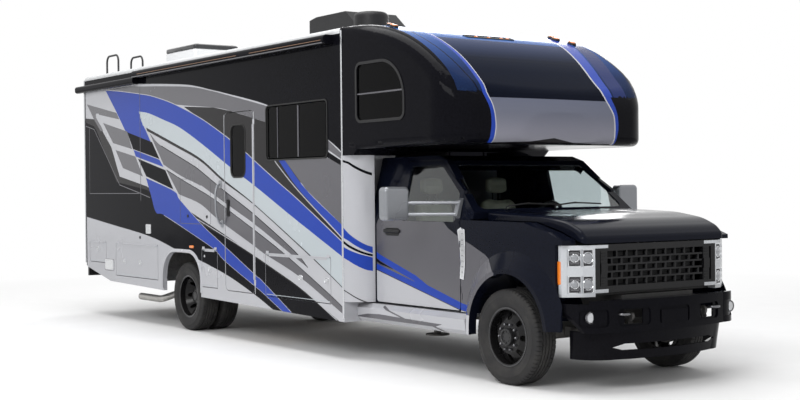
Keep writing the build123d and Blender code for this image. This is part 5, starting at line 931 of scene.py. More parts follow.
def crown_shapes():
    """Stripes over the cap's crown, on a base of painted sky reflection, as outlines in Y, X."""
    moved = lambda rows, by: tuple((y + by, x) for y, x in rows)
    return [
        # Base of the crown: a painted sky reflection, bluer towards the top.
        ("crown_paint", mm((-1128, 1650), (1128, 1650), (1128, 3900), (-1128, 3900))),
        # Black centre panel, with a painted sky reflection towards the top.
        ("gloss_black", np.vstack([mm((-805, 2793), (-34, 2819)), mm(*FAR_IN[2:]),
                                   mm(*NEAR_IN[:1:-1])])),
        ("black_paint", line(((-880, 1700), (-925, 2300), (-945, 2403), (-1020, 2769),
                              (-995, 3131), (-960, 3399), (-918, 3643), (-905, 3760)), 14)),
        ("blue_paint", band(NEAR_IN, moved(NEAR_IN, -46))),
        ("silver_paint", line(NEAR_IN[1:], 11)),
        ("deep_blue", band(moved(FAR_OUT, 22), FAR_EDGE)),
        ("blue_paint", band(FAR_IN, FAR_OUT)),
        ("silver_paint", line(FAR_IN[1:], 20)),
    ]


def nose_shapes():
    """Stripes over the cap's front face and a painted shadow along the foot of its panel, as outlines
    in Y, Z.
    """
    near = ((-852, 2660), (-838, 2570), (-808, 2464), (-785, 2291), (-812, 2137), (-822, 2100))
    near_out = ((-900, 2660), (-885, 2570), (-843, 2425), (-835, 2290), (-861, 2136), (-872, 2100))
    far = ((612, 2660), (614, 2570), (640, 2500), (683, 2402), (695, 2279), (679, 2144),
           (668, 2100))
    far_out = ((708, 2660), (700, 2570), (722, 2480), (742, 2380), (745, 2280), (708, 2150),
               (695, 2100))
    return [
        # Top of the front face in the same black, with its painted sky reflection.
        ("gloss_black", mm((-852, 2660), (-829, 2548), (622, 2548), (612, 2660))),
        # Silver panel with painted shading, darker towards its top.
        ("cap_silver", np.vstack([mm((-829, 2548), *near[2:]), mm(*far[:1:-1], (622, 2548))])),
        # Dark band at the foot of the panel: a painted shadow in the charcoal finish.
        ("charcoal_paint", band(((-815, 2137), (-394, 2147), (-106, 2182), (135, 2140), (679, 2128)),
                                ((-815, 2100), (679, 2100)), False)),
        ("blue_paint", band(near_out, near)),
        ("silver_paint", line(near, 11)),
        ("blue_paint", band(far, far_out)),
        ("silver_paint", line(far, 18)),
    ]


CAP_TOP = [(1.70, ROOF_Z), (CROWN[0], ROOF_Z)] + [
    (CROWN[0] + CROWN[2] * math.sin(t), CROWN[1] + CROWN[2] * math.cos(t))
    for t in np.linspace(0.02, 0.698, 24)
] + [NOSE[1], (3.90, 2.372)]
CAP_BOTTOM = [(1.70, 2.12), (3.90, 2.12)]
CAP_PLAN = [(1.70, WALL_Y), (3.295, WALL_Y), (3.398, 1.241), (3.4700, 1.205), (3.5298, 1.161),
            (3.577, 1.105), (3.615, 1.030), (3.643, 0.937)] + [
    (NOSE[1][0] - NOSE_R + math.sqrt(NOSE_R ** 2 - y * y), y) for y in np.linspace(0.88, -0.88, 24)]
CAP_PLAN += [(x, -y) for x, y in CAP_PLAN[7::-1]]


def depth_in(points, outline):
    """Distance of plane points inside an open outline, and the outward normals there."""
    p, a = points[:, None, :], np.asarray(outline, float)
    d = a[1:] - a[:-1]
    t = np.clip(((p - a[:-1]) * d).sum(-1) / (d * d).sum(-1), 0, 1)
    gap = np.linalg.norm(p - (a[:-1] + t[..., None] * d), axis=-1)
    near = gap.argmin(1)
    n = np.stack([-d[:, 1], d[:, 0]], 1) / np.linalg.norm(d, axis=1)[:, None]
    rows = np.arange(len(points))
    q = a[:-1][near] + t[rows, near][:, None] * d[near]
    out = n[near]
    away = ((points - q) * out).sum(1) > 1e-6
    return np.where(away, 0.0, gap[rows, near]), out


def round_edge(p, first, second, radius):
    """Bring points near the edge of two faces onto a rounding of that radius.

    a and d are the depths under the faces. Inside the corner square (r - a, r - d) is shortened
    to length r, and the move solves both depths at once along the two outward normals.
    """
    (a, na), (d, nd) = first, second
    u, w = np.clip(radius - a, 0, None), np.clip(radius - d, 0, None)
    far = np.maximum(np.hypot(u, w), 1e-9)
    scale = np.where(far > radius, radius / far, 1.0) * (radius > 0)
    scale = np.where((u > 0) & (w > 0) & (radius > 0), scale, 1.0)
    da, dd = u * (1 - scale), w * (1 - scale)
    c = (na * nd).sum(1)
    k = np.maximum(1 - c * c, 0.3)
    return p - ((da - c * dd) / k)[:, None] * na - ((dd - c * da) / k)[:, None] * nd


def rounded_cap():
    """The cap and its pan in one mesh, cut into small cells and rounded along their edges."""
    names = ("overcab_cap", "cap_pan")
    work = bmesh.new()
    for n in names:
        work.from_mesh(NODES[n].data)
    cuts = [((x, 0, 0), (1, 0, 0)) for x in np.arange(1.80, 3.71, 0.03)]
    cuts += [((0, 0, z), (0, 0, 1)) for z in np.arange(2.13, 3.35, 0.03)]
    cuts += [((0, y * k, 0), (0, 1, 0)) for y in np.arange(1.105, 1.25, 0.025) for k in (-1, 1)]
    cuts += [((0, y, 0), (0, 1, 0)) for y in np.arange(-0.96, 0.97, 0.12)]
    for at, n in cuts:
        bmesh.ops.bisect_plane(work, geom=work.verts[:] + work.edges[:] + work.faces[:], dist=1e-6,
                               plane_co=at, plane_no=n)
    bmesh.ops.remove_doubles(work, verts=work.verts, dist=0.00005)
    bmesh.ops.triangulate(work, faces=work.faces)
    work.verts.ensure_lookup_table()
    p = np.array([v.co[:] for v in work.verts])
    zero = np.zeros(len(p))
    flat = lambda rows, n: (rows, np.stack([n[:, 0], n[:, 1], zero], 1))
    upright = lambda rows, n: (rows, np.stack([n[:, 0], zero, n[:, 1]], 1))
    fade = np.clip((p[:, 0] - 1.80) / 0.55, 0, 1) ** 0.7
    plan = lambda q: flat(*depth_in(q[:, :2], CAP_PLAN))
    p = round_edge(p, plan(p), upright(*depth_in(p[:, (0, 2)], CAP_TOP)), 0.030 + 0.105 * fade)
    low = np.clip((p[:, 0] - 2.0) / 0.5, 0, 1)
    bottom, n = depth_in(p[:, (0, 2)], CAP_BOTTOM[::-1])
    p = round_edge(p, plan(p), upright(bottom, n), 0.075 * low)
    faces = np.array([[v.index for v in f.verts] for f in work.faces])
    work.free()
    piece = put("rounded_cap", p, faces, "black_paint", BODY, 35, closed=False)
    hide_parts(*names)
    return piece


class MOTORHOME_OT_cap(bpy.types.Operator):
    """Rounded shell, stripes, marker lamps and lamp module of the over-cab cap"""

    bl_idname = "motorhome.cap"
    bl_label = "Cap"

    def execute(self, context):
        film = context.scene.motorhome_trim.film
        SURFACES["cap"] = rounded_cap()
        skin("livery_crown", "cap", (0.5, 0, 0.866), lambda tri: tri[..., (1, 0)],
             crown_shapes(), "black_paint", film, BODY, 0.55,
             lambda tri: (tri[..., 2].mean(1) > 2.60) & (np.abs(tri[..., 1]).mean(1) < 1.13))
        skin("livery_nose", "cap", (1, 0, 0), lambda tri: tri[..., (1, 2)], nose_shapes(),
             "black_paint", film, BODY, 0.5,
             lambda tri: ((tri[..., 2].mean(1) < 2.60) & (tri[..., 0] > 3.45).all(1)
                          & (np.abs(tri[..., 1]).mean(1) < 0.96)))
        lamps, lenses = [], []
        for y, x in ((-1.085, 2.482), (1.0, 2.42), (0.93, 2.56), (1.01, 2.72), (-1.0, 2.3)):
            base, dome = self.marker(x, y, 0.05, 0.03)
            lamps.append(base)
            lenses.append(dome)
        z, (nx, nz) = crown_at(2.70)
        frame_ = rounded_outline((-0.31, 0.31), (-0.05, 0.05), 0.03)
        origin, u, v, n = (2.70, -0.085, z), (0, 1, 0), (nz, 0, -nx), (nx, 0, nz)
        lamps.append(plate(frame_, ((0, -0.004), (0, 0.004), (0.006, 0.008), (0.014, 0.008),
                                    (0.018, 0.003)), origin, u, v, n))
        for k in (-0.16, 0.0, 0.16, 0.24):
            at = np.asarray(origin) + k * np.asarray(u, float)
            lenses.append(plate(rounded_outline((-0.02, 0.02), (-0.012, 0.012), 0.008),
                                ((0, 0.002), (0.002, 0.008), (0.006, 0.010)), at, u, v, n))
        put("cap_lamp_housings", *merge(*lamps), "black_plastic")
        put("cap_lamp_lenses", *merge(*lenses), "amber_lens")
        return {"FINISHED"}

    def marker(self, x, y, half, high):
        """Low clearance lamp on the crown: its base and its lens."""
        z, (nx, nz) = crown_at(x)
        u, v, n = (0, 1, 0), (nz, 0, -nx), (nx, 0, nz)
        ring = rounded_outline((-half * 0.7, half * 0.7), (-half, half), 0.03)
        base = plate(ring, ((0, -0.003), (0, high * 0.5), (0.006, high * 0.75)), (x, y, z), u, v, n)
        lens = plate(inset(ring, 0.007), ((0, high * 0.6), (0.003, high * 0.9), (0.014, high)),
                     (x, y, z), u, v, n)
        return base, lens


# ---------------------------------------------------------------- tyres and wheels
TYRE_R = 0.419
AXLE_F, AXLE_R = 4.105, -1.895
FRONT_Y, TWIN_Y = 0.945, (1.065, 0.790)
SIDEWALL = ((0.249, 0.084), (0.258, 0.091), (0.268, 0.100), (0.285, 0.1115), (0.3145, 0.1200),
            (0.340, 0.1198), (0.343, 0.1210), (0.352, 0.1205), (0.355, 0.1180), (0.375, 0.1135),
            (0.393, 0.1085), (0.402, 0.1065), (0.410, 0.1020), (0.4160, 0.0950))


def tyre_grid(x, y, blocks, depth):
    """Treaded tyre as one grid of angle by section.

    The section runs bead, sidewall, shoulder, ribs and back. Each groove at w0 takes the
    radius from R to R - depth and sways sideways by 4 mm tri(2 a blocks); across the
    shoulder ribs the last fifth of every block is cut to R - 0.7 depth.
    """
    grooves = (-0.052, -0.018, 0.018, 0.052)
    section = [(r, -w, 0.0) for r, w in SIDEWALL]
    section.append((TYRE_R - 0.001, -0.088, 0.0))
    section.append((TYRE_R, -0.066, 0.0))
    for g in grooves:
        section += [(TYRE_R, g - 0.0055, 1.0), (TYRE_R - depth, g - 0.0035, 1.0),
                    (TYRE_R - depth, g + 0.0035, 1.0), (TYRE_R, g + 0.0055, 1.0)]
    section.append((TYRE_R, 0.066, 0.0))
    section.append((TYRE_R - 0.001, 0.088, 0.0))
    section += [(r, w, 0.0) for r, w in SIDEWALL[::-1]]
    r, w, sway = np.array(section).T
    part = np.array((0.0, 0.42, 0.80, 0.835, 0.965))
    turn = ((np.arange(blocks)[:, None] + part) / blocks).ravel()
    cut = np.tile(np.array((0, 0, 0, 1, 1.0)), blocks)[:, None]
    shoulder = ((np.abs(w) > 0.058) & (r > 0.400))[None, :]
    radius = r[None, :] - cut * shoulder * 0.7 * depth
    zig = 0.004 * (2 * np.abs(2 * ((turn * blocks) % 1.0) - 1) - 1)[:, None] * sway[None, :]
    a = 2 * np.pi * turn[:, None]
    p = np.stack([x + radius * np.cos(a), np.broadcast_to(y + w, radius.shape) + zig,
                  TYRE_R + radius * np.sin(a)], -1)
    return p.reshape(-1, 3), quads(len(turn), len(r), wrap_rows=True, wrap_cols=True)


def ring_of(count, radius, centre, sign, profile, turns=6, start=0.0):
    """Small turned parts set in a circle on a wheel's face."""
    parts = []
    for n in range(count):
        a = start + 2 * math.pi * n / count
        at = (centre[0] + radius * math.cos(a), centre[1], centre[2] + radius * math.sin(a))
        parts.append(lathe(at, profile, turns, (0, sign, 0)))
    return merge(*parts)


def rim_highlight(x, y, sign, out=0.099):
    """Edge of a rim in a lighter black, a painted highlight: a section turned round the wheel's axis,
    out from its middle.
    """
    section = ((0.262, out + 0.0004), (0.2585, out + 0.0022), (0.2515, out + 0.0022),
               (0.2475, out - 0.001), (0.2465, out - 0.02))
    return lathe((x, sign * y, TYRE_R), section, 72, (0, sign, 0))


class MOTORHOME_OT_wheels(bpy.types.Operator):
    """Treaded tyres, wheel nuts, hub rings, hub caps, and a painted highlight on the rims' edges"""

    bl_idname = "motorhome.wheels"
    bl_label = "Wheels"

    def execute(self, context):
        s = context.scene.motorhome_trim
        nut = ((0.0, 0.024), (0.008, 0.023), (0.012, 0.018), (0.0135, 0.015), (0.0135, 0.001),
               (0.016, 0.001), (0.016, -0.002), (0.0, -0.002))
        for side, sign in SIDES:
            grid = tyre_grid(AXLE_F, sign * FRONT_Y, s.tread_blocks, s.tread_depth)
            piece = put(f"road_tyre_front_{side}", *grid, "tyre_rubber", f"wheel_front_{side}", 35)
            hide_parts(f"tyre_front_{side}")
            pair = merge(*(tyre_grid(AXLE_R, sign * y, s.tread_blocks, s.tread_depth)
                           for y in TWIN_Y))
            piece = put(f"road_tyres_rear_{side}", *pair, "tyre_rubber", f"wheel_rear_{side}", 35)
            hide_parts(f"tyres_rear_{side}")
            face = (AXLE_F, sign * 1.030, TYRE_R)
            body = f"wheel_front_{side}"
            put(f"wheel_nuts_front_{side}", *ring_of(10, 0.112, face, sign, nut), "dark_chrome", body)
            hub = ((0.0765, 0.0), (0.0765, 0.030), (0.073, 0.036), (0.060, 0.037), (0.056, 0.033),
                   (0.055, 0.0265), (0.0, 0.0265))
            hub_parts = merge(lathe(face, hub, 40, (0, sign, 0)),
                              ring_of(8, 0.046, (AXLE_F, face[1] + sign * 0.0265, TYRE_R), sign,
                                      ((0, 0.007), (0.005, 0.006), (0.0065, 0.001),
                                       (0.0065, -0.001), (0, -0.001)), 6))
            put(f"hub_ring_front_{side}", *hub_parts, "hub_black", body)
            face = (AXLE_R, sign * 0.972, TYRE_R)
            body = f"wheel_rear_{side}"
            put(f"wheel_nuts_rear_{side}", *ring_of(10, 0.118, face, sign, nut), "dark_chrome", body)
            end = (AXLE_R, sign * 1.067, TYRE_R)
            hub = merge(lathe(end, ((0.094, -0.004), (0.094, 0.002), (0.088, 0.006), (0.060, 0.008),
                                    (0.052, 0.016), (0.0, 0.018)), 40, (0, sign, 0)),
                        ring_of(8, 0.074, (AXLE_R, sign * 1.072, TYRE_R), sign,
                                ((0, 0.009), (0.006, 0.008), (0.008, 0.001), (0.008, -0.002),
                                 (0, -0.002)), 6))
            put(f"hub_cap_rear_{side}", *hub, "hub_black", body)
            # The rims' edges are a painted highlight, lighter than the wheels' black.
            put(f"rim_edge_front_{side}", *rim_highlight(AXLE_F, FRONT_Y, sign), "wheel_edge",
                f"wheel_front_{side}", closed=False)
            put(f"rim_edge_rear_{side}", *rim_highlight(AXLE_R, TWIN_Y[0], sign), "wheel_edge",
                f"wheel_rear_{side}", closed=False)
        return {"FINISHED"}


# ---------------------------------------------------------------- cab and front end
GRILLE_X = 4.879
FENDER_Y, CAB_DOOR_Y = 1.0155, 1.0165
MODULE_Z, MODULE_Y = ((0.838, 0.972), (1.060, 1.194)), ((0.752, 0.842), (0.850, 0.946))
RING_Z, RING_Y = ((0.834, 0.976), (1.056, 1.198)), ((0.747, 0.845), (0.845, 0.951))


def lamp_x(y):
    """Front of the headlamp at a distance out from the middle, and its direction across."""
    knee_y, knee_x = 0.845, 4.855
    slope = -(knee_x - 4.751) / (0.985 - knee_y) if y > knee_y else -0.035 / 0.110
    return (knee_x + (y - knee_y) * slope), slope


def lamp_plane(sign, y):
    """Plane on the lamp's front at a distance out: across is outwards, up is Z."""
    x, slope = lamp_x(y)
    u = np.array((slope, sign, 0)) / math.hypot(slope, 1)
    n = np.array((1, -sign * slope, 0)) / math.hypot(slope, 1)
    return (x, sign * y, 0), u, (0, 0, 1), n


class MOTORHOME_OT_front(bpy.types.Operator):
    """Lamp reflectors and lenses, side markers, fog lamps, tow hooks, cab trims and wipers"""

    bl_idname = "motorhome.front"
    bl_label = "Front end"

    def execute(self, context):
        self.headlamps()
        self.bumper()
        self.cab_sides()
        self.wipers()
        self.grille()
        return {"FINISHED"}

    def grille(self):
        """Frames set in the grille's cells, and pressed ribs on the blocks at its ends."""
        cells, ribs = [], []
        low_z, high_z, rows, pitch = 0.885, 1.180, 5, 0.118
        step = (high_z - low_z) / rows
        front = front_plane(GRILLE_X)
        for row in range(rows):
            z = low_z + (row + 0.5) * step
            first = 0.5 if row % 2 == 0 else 0.0
            for n in range(-6, 6):
                y = (n + first) * pitch
                if abs(y) + pitch / 2 > 0.585:
                    continue
                edge = rounded_outline((y - pitch / 2 + 0.007, y + pitch / 2 - 0.007),
                                       (z - step / 2 + 0.007, z + step / 2 - 0.007), 0.009, 3)
                cells.append(rim(edge, ((0, -0.020), (0, -0.006), (0.003, -0.004), (0.006, -0.008),
                                        (0.006, -0.020)), front))
        front = front_plane(4.882)
        for _, sign in SIDES:
            for z in (0.905, 0.930, 0.955, 1.110, 1.135, 1.160):
                ribs.append(strip((sign * 0.603, z), (sign * 0.652, z), 0.008, 0.004, front, -0.004))
        put("grille_cell_frames", *merge(*cells), "grille_black")
        put("grille_end_ribs", *merge(*ribs), "grille_black")

    def headlamps(self):
        """Each module: a ribbed reflector in the recess, a projector lens and a bulb bowl."""
        bowls, lenses, ambers, bars = [], [], [], []
        for _, sign in SIDES:
            for z0, z1 in MODULE_Z:
                for y0, y1 in MODULE_Y:
                    mid, z = (y0 + y1) / 2, (z0 + z1) / 2
                    plane = lamp_plane(sign, mid)
                    half = (y1 - y0) / 2
                    ring = rounded_outline((-half, half), (z0, z1), 0.012)
                    bowls.append(plate(ring, ((0, -0.0155), (0, -0.009), (0.005, -0.006),
                                              (0.010, -0.0095), (0.016, -0.012)), *plane))
                    for k in range(5):
                        zz = z0 + 0.02 + k * (z1 - z0 - 0.04) / 4
                        bowls.append(strip((-half + 0.012, zz), (half - 0.012, zz), 0.010, -0.004,
                                           plane, -0.013))
                    origin = np.asarray(plane[0], float) + (0, 0, z)
                    r = 0.043 if y0 < 0.8 else 0.030
                    collar = ((r + 0.006, -0.010), (r + 0.006, -0.001), (r + 0.003, 0.0015),
                              (r, -0.001), (r - 0.001, -0.010))
                    bars.append(lathe(origin, collar, 36, plane[3], plane[2]))
                    a = np.linspace(0, np.pi / 2, 7)[::-1]
                    dome = tuple((r * math.sin(t), -0.006 + 0.010 * math.cos(t)) for t in a)
                    lenses.append(lathe(origin, ((r, -0.011),) + dome, 36, plane[3], plane[2]))
            x = lamp_x(0.985)[0]
            out = (x, sign * 0.985, 0), (-1, 0, 0), (0, 0, 1), (0, sign, 0)
            ambers.append(plate(rounded_outline((0.012, 0.066), (0.905, 1.10), 0.012),
                                ((0, -0.002), (0, 0.002), (0.004, 0.005), (0.012, 0.006)), *out))
        for _, sign in SIDES:
            for z0, z1 in RING_Z:
                for y0, y1 in RING_Y:
                    mid, half = (y0 + y1) / 2, (y1 - y0) / 2
                    edge = rounded_outline((-half, half), (z0, z1), 0.010)
                    bars.append(rim(edge, ((0, -0.014), (0, 0.0), (0.004, 0.0015), (0.007, -0.002),
                                           (0.007, -0.014)), lamp_plane(sign, mid)))
        put("lamp_reflectors", *merge(*bowls), "dark_chrome")
        put("lamp_bezels", *merge(*bars), "chrome")
        put("lamp_lenses", *merge(*lenses), "lens_grey")
        put("lamp_side_markers", *merge(*ambers), "amber_lens")

    def bumper(self):
        """Fog lamp rings and lenses and cast tow hooks in the bumper's pockets."""
        rings, lenses, hooks = [], [], []
        for _, sign in SIDES:
            at = (4.958, sign * 0.852, 0.636)
            rings.append(lathe(at, ((0.052, -0.012), (0.052, 0.002), (0.047, 0.005), (0.044, 0.002),
                                    (0.043, -0.012)), 36, (1, 0, 0)))
            lenses.append(lathe(at, ((0.043, -0.008), (0.040, 0.000), (0.028, 0.004), (0.0, 0.006)),
                                36, (1, 0, 0)))
        put("fog_lamp_rings", *merge(*rings), "dark_chrome")
        put("fog_lamp_lenses", *merge(*lenses), "lamp_glass")
        for n in (-1, 1):
            y = n * 0.55
            path = flow([(4.99, y - 0.05, 0.655), (5.045, y - 0.05, 0.655), (5.068, y - 0.03, 0.655),
                         (5.075, y, 0.655), (5.068, y + 0.03, 0.655), (5.045, y + 0.05, 0.655),
                         (4.99, y + 0.05, 0.655)], 6)
            hooks.append(tube(path, 0.011, 12))
        put("tow_hooks", *merge(*hooks), "dark_chrome")

    def cab_sides(self):
        """Fender vents and door handles, each laid on the panel that carries it."""
        for side, sign in SIDES:
            plane = wall_plane(sign, FENDER_Y)
            vent = mm((3385, 1330), (3425, 1350), (3470, 1335), (3475, 1180), (3470, 1020),
                      (3452, 900), (3418, 905), (3428, 1030), (3420, 1160))
            body = plate(vent, ((0, -0.004), (0, 0.006), (0.004, 0.009), (0.012, 0.006)), *plane)
            teeth = [strip((3.432, z), (3.463, z), 0.014, 0.011, plane)
                     for z in np.linspace(0.95, 1.30, 8)]
            put(f"fender_vent_{side}", *merge(body, *teeth), "chrome", BODY)
            door = f"cab_door_{side}"
            face = wall_plane(sign, CAB_DOOR_Y)
            cup = plate(rounded_outline((2.20, 2.44), (1.262, 1.338), 0.03),
                        ((0, -0.001), (0, 0.003), (0.004, 0.005), (0.012, 0.002)), *face)
            lever = plate(rounded_outline((2.185, 2.455), (1.290, 1.326), 0.016),
                          ((0, 0.004), (0, 0.014), (0.005, 0.020), (0.010, 0.021)), *face)
            put(f"door_handle_{side}", *merge(cup, lever), "black_plastic", door)

    def wipers(self):
        """Two parked wipers along the foot of the windshield."""
        parts = []
        for y0, y1 in ((-0.62, 0.02), (-0.02, 0.60)):
            x0, z0 = 3.60, 1.530
            arm = [(x0, y0, z0 - 0.01), (x0 - 0.03, y0 + 0.05, z0 + 0.02),
                   (x0 - 0.05, (y0 + y1) / 2, z0 + 0.045)]
            blade = [(x0 - 0.035, y0 + 0.12, z0 + 0.028), (x0 - 0.05, (y0 + y1) / 2, z0 + 0.040),
                     (x0 - 0.035, y1, z0 + 0.028)]
            parts += [tube(flow(arm, 5), 0.008, 8), tube(flow(blade, 5), 0.007, 8)]
        put("wipers", *merge(*parts), "black_plastic")


# ---------------------------------------------------------------- cab seats
SEAT_Y = 0.42
# name, corners in X, Z, half width, cushion's shrink before it is blown up, channels across
SEAT_PADS = (
    ("cushion", ((2.205, 0.975), (2.755, 0.985), (2.755, 1.105), (2.215, 1.110)), 0.260, 0.020,
     ("x", (2.36, 2.48, 2.60))),
    ("backrest", ((2.205, 1.050), (2.350, 1.050), (2.245, 1.635), (2.117, 1.635)), 0.260, 0.020,
     ("z", (1.20, 1.32, 1.44))),
    ("headrest", ((2.120, 1.655), (2.235, 1.655), (2.218, 1.838), (2.112, 1.838)), 0.140, 0.014,
     ("z", (1.745,))),
)


def pad_shape(corners, half, shrink, y):
    """Superellipse cushion over a quadrilateral in X, Z: |u|^n + |v|^n + |w|^n = 1, n = 5."""
    a = np.linspace(0, 2 * np.pi, 40, endpoint=False)
    b = np.linspace(-np.pi / 2, np.pi / 2, 25)
    power = lambda t: np.sign(t) * np.abs(t) ** 0.4
    u = power(np.cos(b))[:, None] * power(np.cos(a))[None, :]
    v = power(np.cos(b))[:, None] * power(np.sin(a))[None, :]
    w = np.broadcast_to(power(np.sin(b))[:, None], u.shape)
    q = np.asarray(corners, float)
    s, t = (u + 1) / 2, (v + 1) / 2
    xz = ((1 - s) * (1 - t))[..., None] * q[0] + (s * (1 - t))[..., None] * q[1] \
        + (s * t)[..., None] * q[2] + ((1 - s) * t)[..., None] * q[3]
    mid = q.mean(0)
    size = np.ptp(q, axis=0)
    xz = mid + (xz - mid) * (1 - 2 * shrink / size)
    verts = np.stack([xz[..., 0], y + w * (half - shrink), xz[..., 1]], -1)
    return verts.reshape(-1, 3), quads(*u.shape, wrap_cols=True)


def mesh_points(mesh):
    """A mesh's vertices as rows of X, Y, Z."""
    co = np.zeros(len(mesh.vertices) * 3)
    mesh.vertices.foreach_get("co", co)
    return co.reshape(-1, 3)


def evaluated(piece):
    """New mesh of a piece as its modifiers leave it."""
    depsgraph = bpy.context.evaluated_depsgraph_get()
    return bpy.data.meshes.new_from_object(piece.evaluated_get(depsgraph))


def blown_up(piece, voxel, pressure, cap):
    """Remesh the piece, fill it under pressure as cloth, and keep each point within cap."""
    remesh = piece.modifiers.new("remesh", "REMESH")
    remesh.mode, remesh.voxel_size, remesh.use_smooth_shade = "VOXEL", voxel, True
    mesh = evaluated(piece)
    piece.modifiers.clear()
    piece.data = mesh
    start = mesh_points(mesh)
    cloth = piece.modifiers.new("cloth", "CLOTH")
    cloth.settings.use_pressure = True
    cloth.settings.uniform_pressure_force = pressure
    cloth.settings.quality = 4
    cloth.settings.mass = 0.4
    cloth.settings.effector_weights.gravity = 0
    cloth.point_cache.frame_start, cloth.point_cache.frame_end = 1, 20
    for frame_number in range(1, 21):
        bpy.context.scene.frame_set(frame_number)
    end = mesh_points(evaluated(piece))
    piece.modifiers.clear()
    bpy.context.scene.frame_set(1)
    move = end - start
    move -= move.mean(0)
    size = np.linalg.norm(move, axis=1, keepdims=True)
    start = start + move * np.minimum(1, cap / np.maximum(size, 1e-9))
    return start


class MOTORHOME_OT_seats(bpy.types.Operator):
    """Cloth-filled cushions, backrests and headrests of the cab seats, on plain bases"""

    bl_idname = "motorhome.seats"
    bl_label = "Seats"

    def execute(self, context):
        s = context.scene.motorhome_trim
        pads = []
        for name, corners, half, shrink, channels in SEAT_PADS:
            y = SEAT_Y
            pad = put(f"seat_{name}_left", *pad_shape(corners, half, shrink, y), "cream_leather")
            co = blown_up(pad, s.seat_voxel, s.seat_pressure, shrink + 0.008)
            co = self.channelled(co, channels, y, half)
            co[:, 1] = np.clip(co[:, 1], y - half, y + half)
            mesh = pad.data
            mesh.vertices.foreach_set("co", co.ravel())
            mesh.materials.clear()
            mesh.materials.append(MATERIALS["cream_leather"])
            mesh.polygons.foreach_set("use_smooth", np.ones(len(mesh.polygons), bool))
            mesh.update()
            twin = bpy.data.objects.new(f"seat_{name}_right", mesh.copy())
            mirrored = co * (1, -1, 1)
            twin.data.vertices.foreach_set("co", mirrored.ravel())
            twin.data.flip_normals()
            bpy.context.scene.collection.objects.link(twin)
            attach(twin, BODY)
            for piece in (pad, twin):
                pads.append(piece)
        parts = []
        for _, sign in SIDES:
            ring = rounded_outline((2.27, 2.69), (sign * SEAT_Y - 0.20, sign * SEAT_Y + 0.20), 0.04)
            parts.append(plate(ring, ((0, 0.845), (0.03, 0.90), (0.02, 0.955), (-0.03, 0.975),
                                      (-0.02, 0.99)), *FLAT))
            for y in (-0.05, 0.05):
                parts.append(tube(np.array([(2.175, sign * SEAT_Y + y, 1.60),
                                            (2.172, sign * SEAT_Y + y, 1.70)]), 0.007, 10))
        base = put("seat_bases", *merge(*parts), "interior_plastic")
        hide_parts("cab_seats")
        return {"FINISHED"}

    def channelled(self, co, channels, y, half):
        """Sewn channels across the pad, and one either side set in from its edges."""
        axis, places = channels
        along = co[:, 0] if axis == "x" else co[:, 2]
        depth = np.zeros(len(co))
        inner = np.abs(co[:, 1] - y) < half * 0.68
        for at in places:
            depth = np.maximum(depth, 0.009 * np.exp(-((along - at) / 0.008) ** 2) * inner)
        side = np.abs(np.abs(co[:, 1] - y) - half * 0.68)
        depth = np.maximum(depth, 0.009 * np.exp(-(side / 0.008) ** 2))
        middle = co.mean(0)
        inward = middle - co
        inward[:, 1] = 0
        inward /= np.maximum(np.linalg.norm(inward, axis=1, keepdims=True), 1e-6)
        return co + inward * depth[:, None]


# ---------------------------------------------------------------- coach sides
def strip(a, b, width, high, plane, low=-0.001):
    """Narrow raised bar on a plane, between two points in its two directions."""
    a, b = np.asarray(a, float), np.asarray(b, float)
    t = (b - a) / np.linalg.norm(b - a)
    n = np.array((-t[1], t[0])) * width / 2
    ring = np.array([a - n, b - n, b + n, a + n])
    edge = min(high, width) * 0.3
    return plate(ring, ((0, low), (0, high - edge), (edge, high)), *plane)


def rim(outline, section, plane):
    """Ring on a plane: a closed section of (inset, height) carried round an outline."""
    o, u, v, n = (np.asarray(x, float) for x in plane)
    rows = [inset(outline, step[0]) for step in section]
    p = np.stack([o + r[:, :1] * u + r[:, 1:] * v + step[1] * n
                  for r, step in zip(rows, section)], 1)
    return p.reshape(-1, 3), quads(len(outline), len(section), wrap_rows=True, wrap_cols=True)


def badge_round(at, radius, high, plane, turns=28):
    """Low round lock or knob on a plane."""
    origin, u, v, n = (np.asarray(x, float) for x in plane)
    centre = origin + at[0] * u + at[1] * v
    return lathe(centre, ((radius, -0.001), (radius, high * 0.6), (radius * 0.85, high),
                          (radius * 0.35, high), (radius * 0.3, high * 0.6), (0, high * 0.6)),
                 turns, n, u)


def paddle(at, wide, tall, plane):
    """Latch of a baggage door: a dished plate with a lever across it."""
    x, z = at
    dish = rounded_outline((x - wide / 2, x + wide / 2), (z - tall / 2, z + tall / 2), tall * 0.3)
    grip = rounded_outline((x - wide * 0.32, x + wide * 0.32),
                           (z - tall * 0.18, z + tall * 0.22), tall * 0.15)
    return merge(
        plate(dish, ((0, -0.001), (0, 0.004), (0.003, 0.007), (0.009, 0.007), (0.013, 0.002)),
              *plane),
        plate(grip, ((0, 0.001), (0, 0.008), (0.003, 0.011)), *plane))


def vent_slats(u, v, count, plane, high=0.01):
    """Framed vent with slats, between limits across and up."""
    parts = [plate(rounded_outline(u, v, 0.01), ((0, -0.001), (0, high), (0.004, high + 0.002),
                                                 (0.012, high + 0.002), (0.014, 0.002)), *plane)]
    step = (v[1] - v[0] - 0.03) / count
    for n in range(count):
        z = v[0] + 0.015 + (n + 0.5) * step
        parts.append(strip((u[0] + 0.014, z), (u[1] - 0.014, z), step * 0.55, high * 0.9, plane, 0.001))
    return merge(*parts)


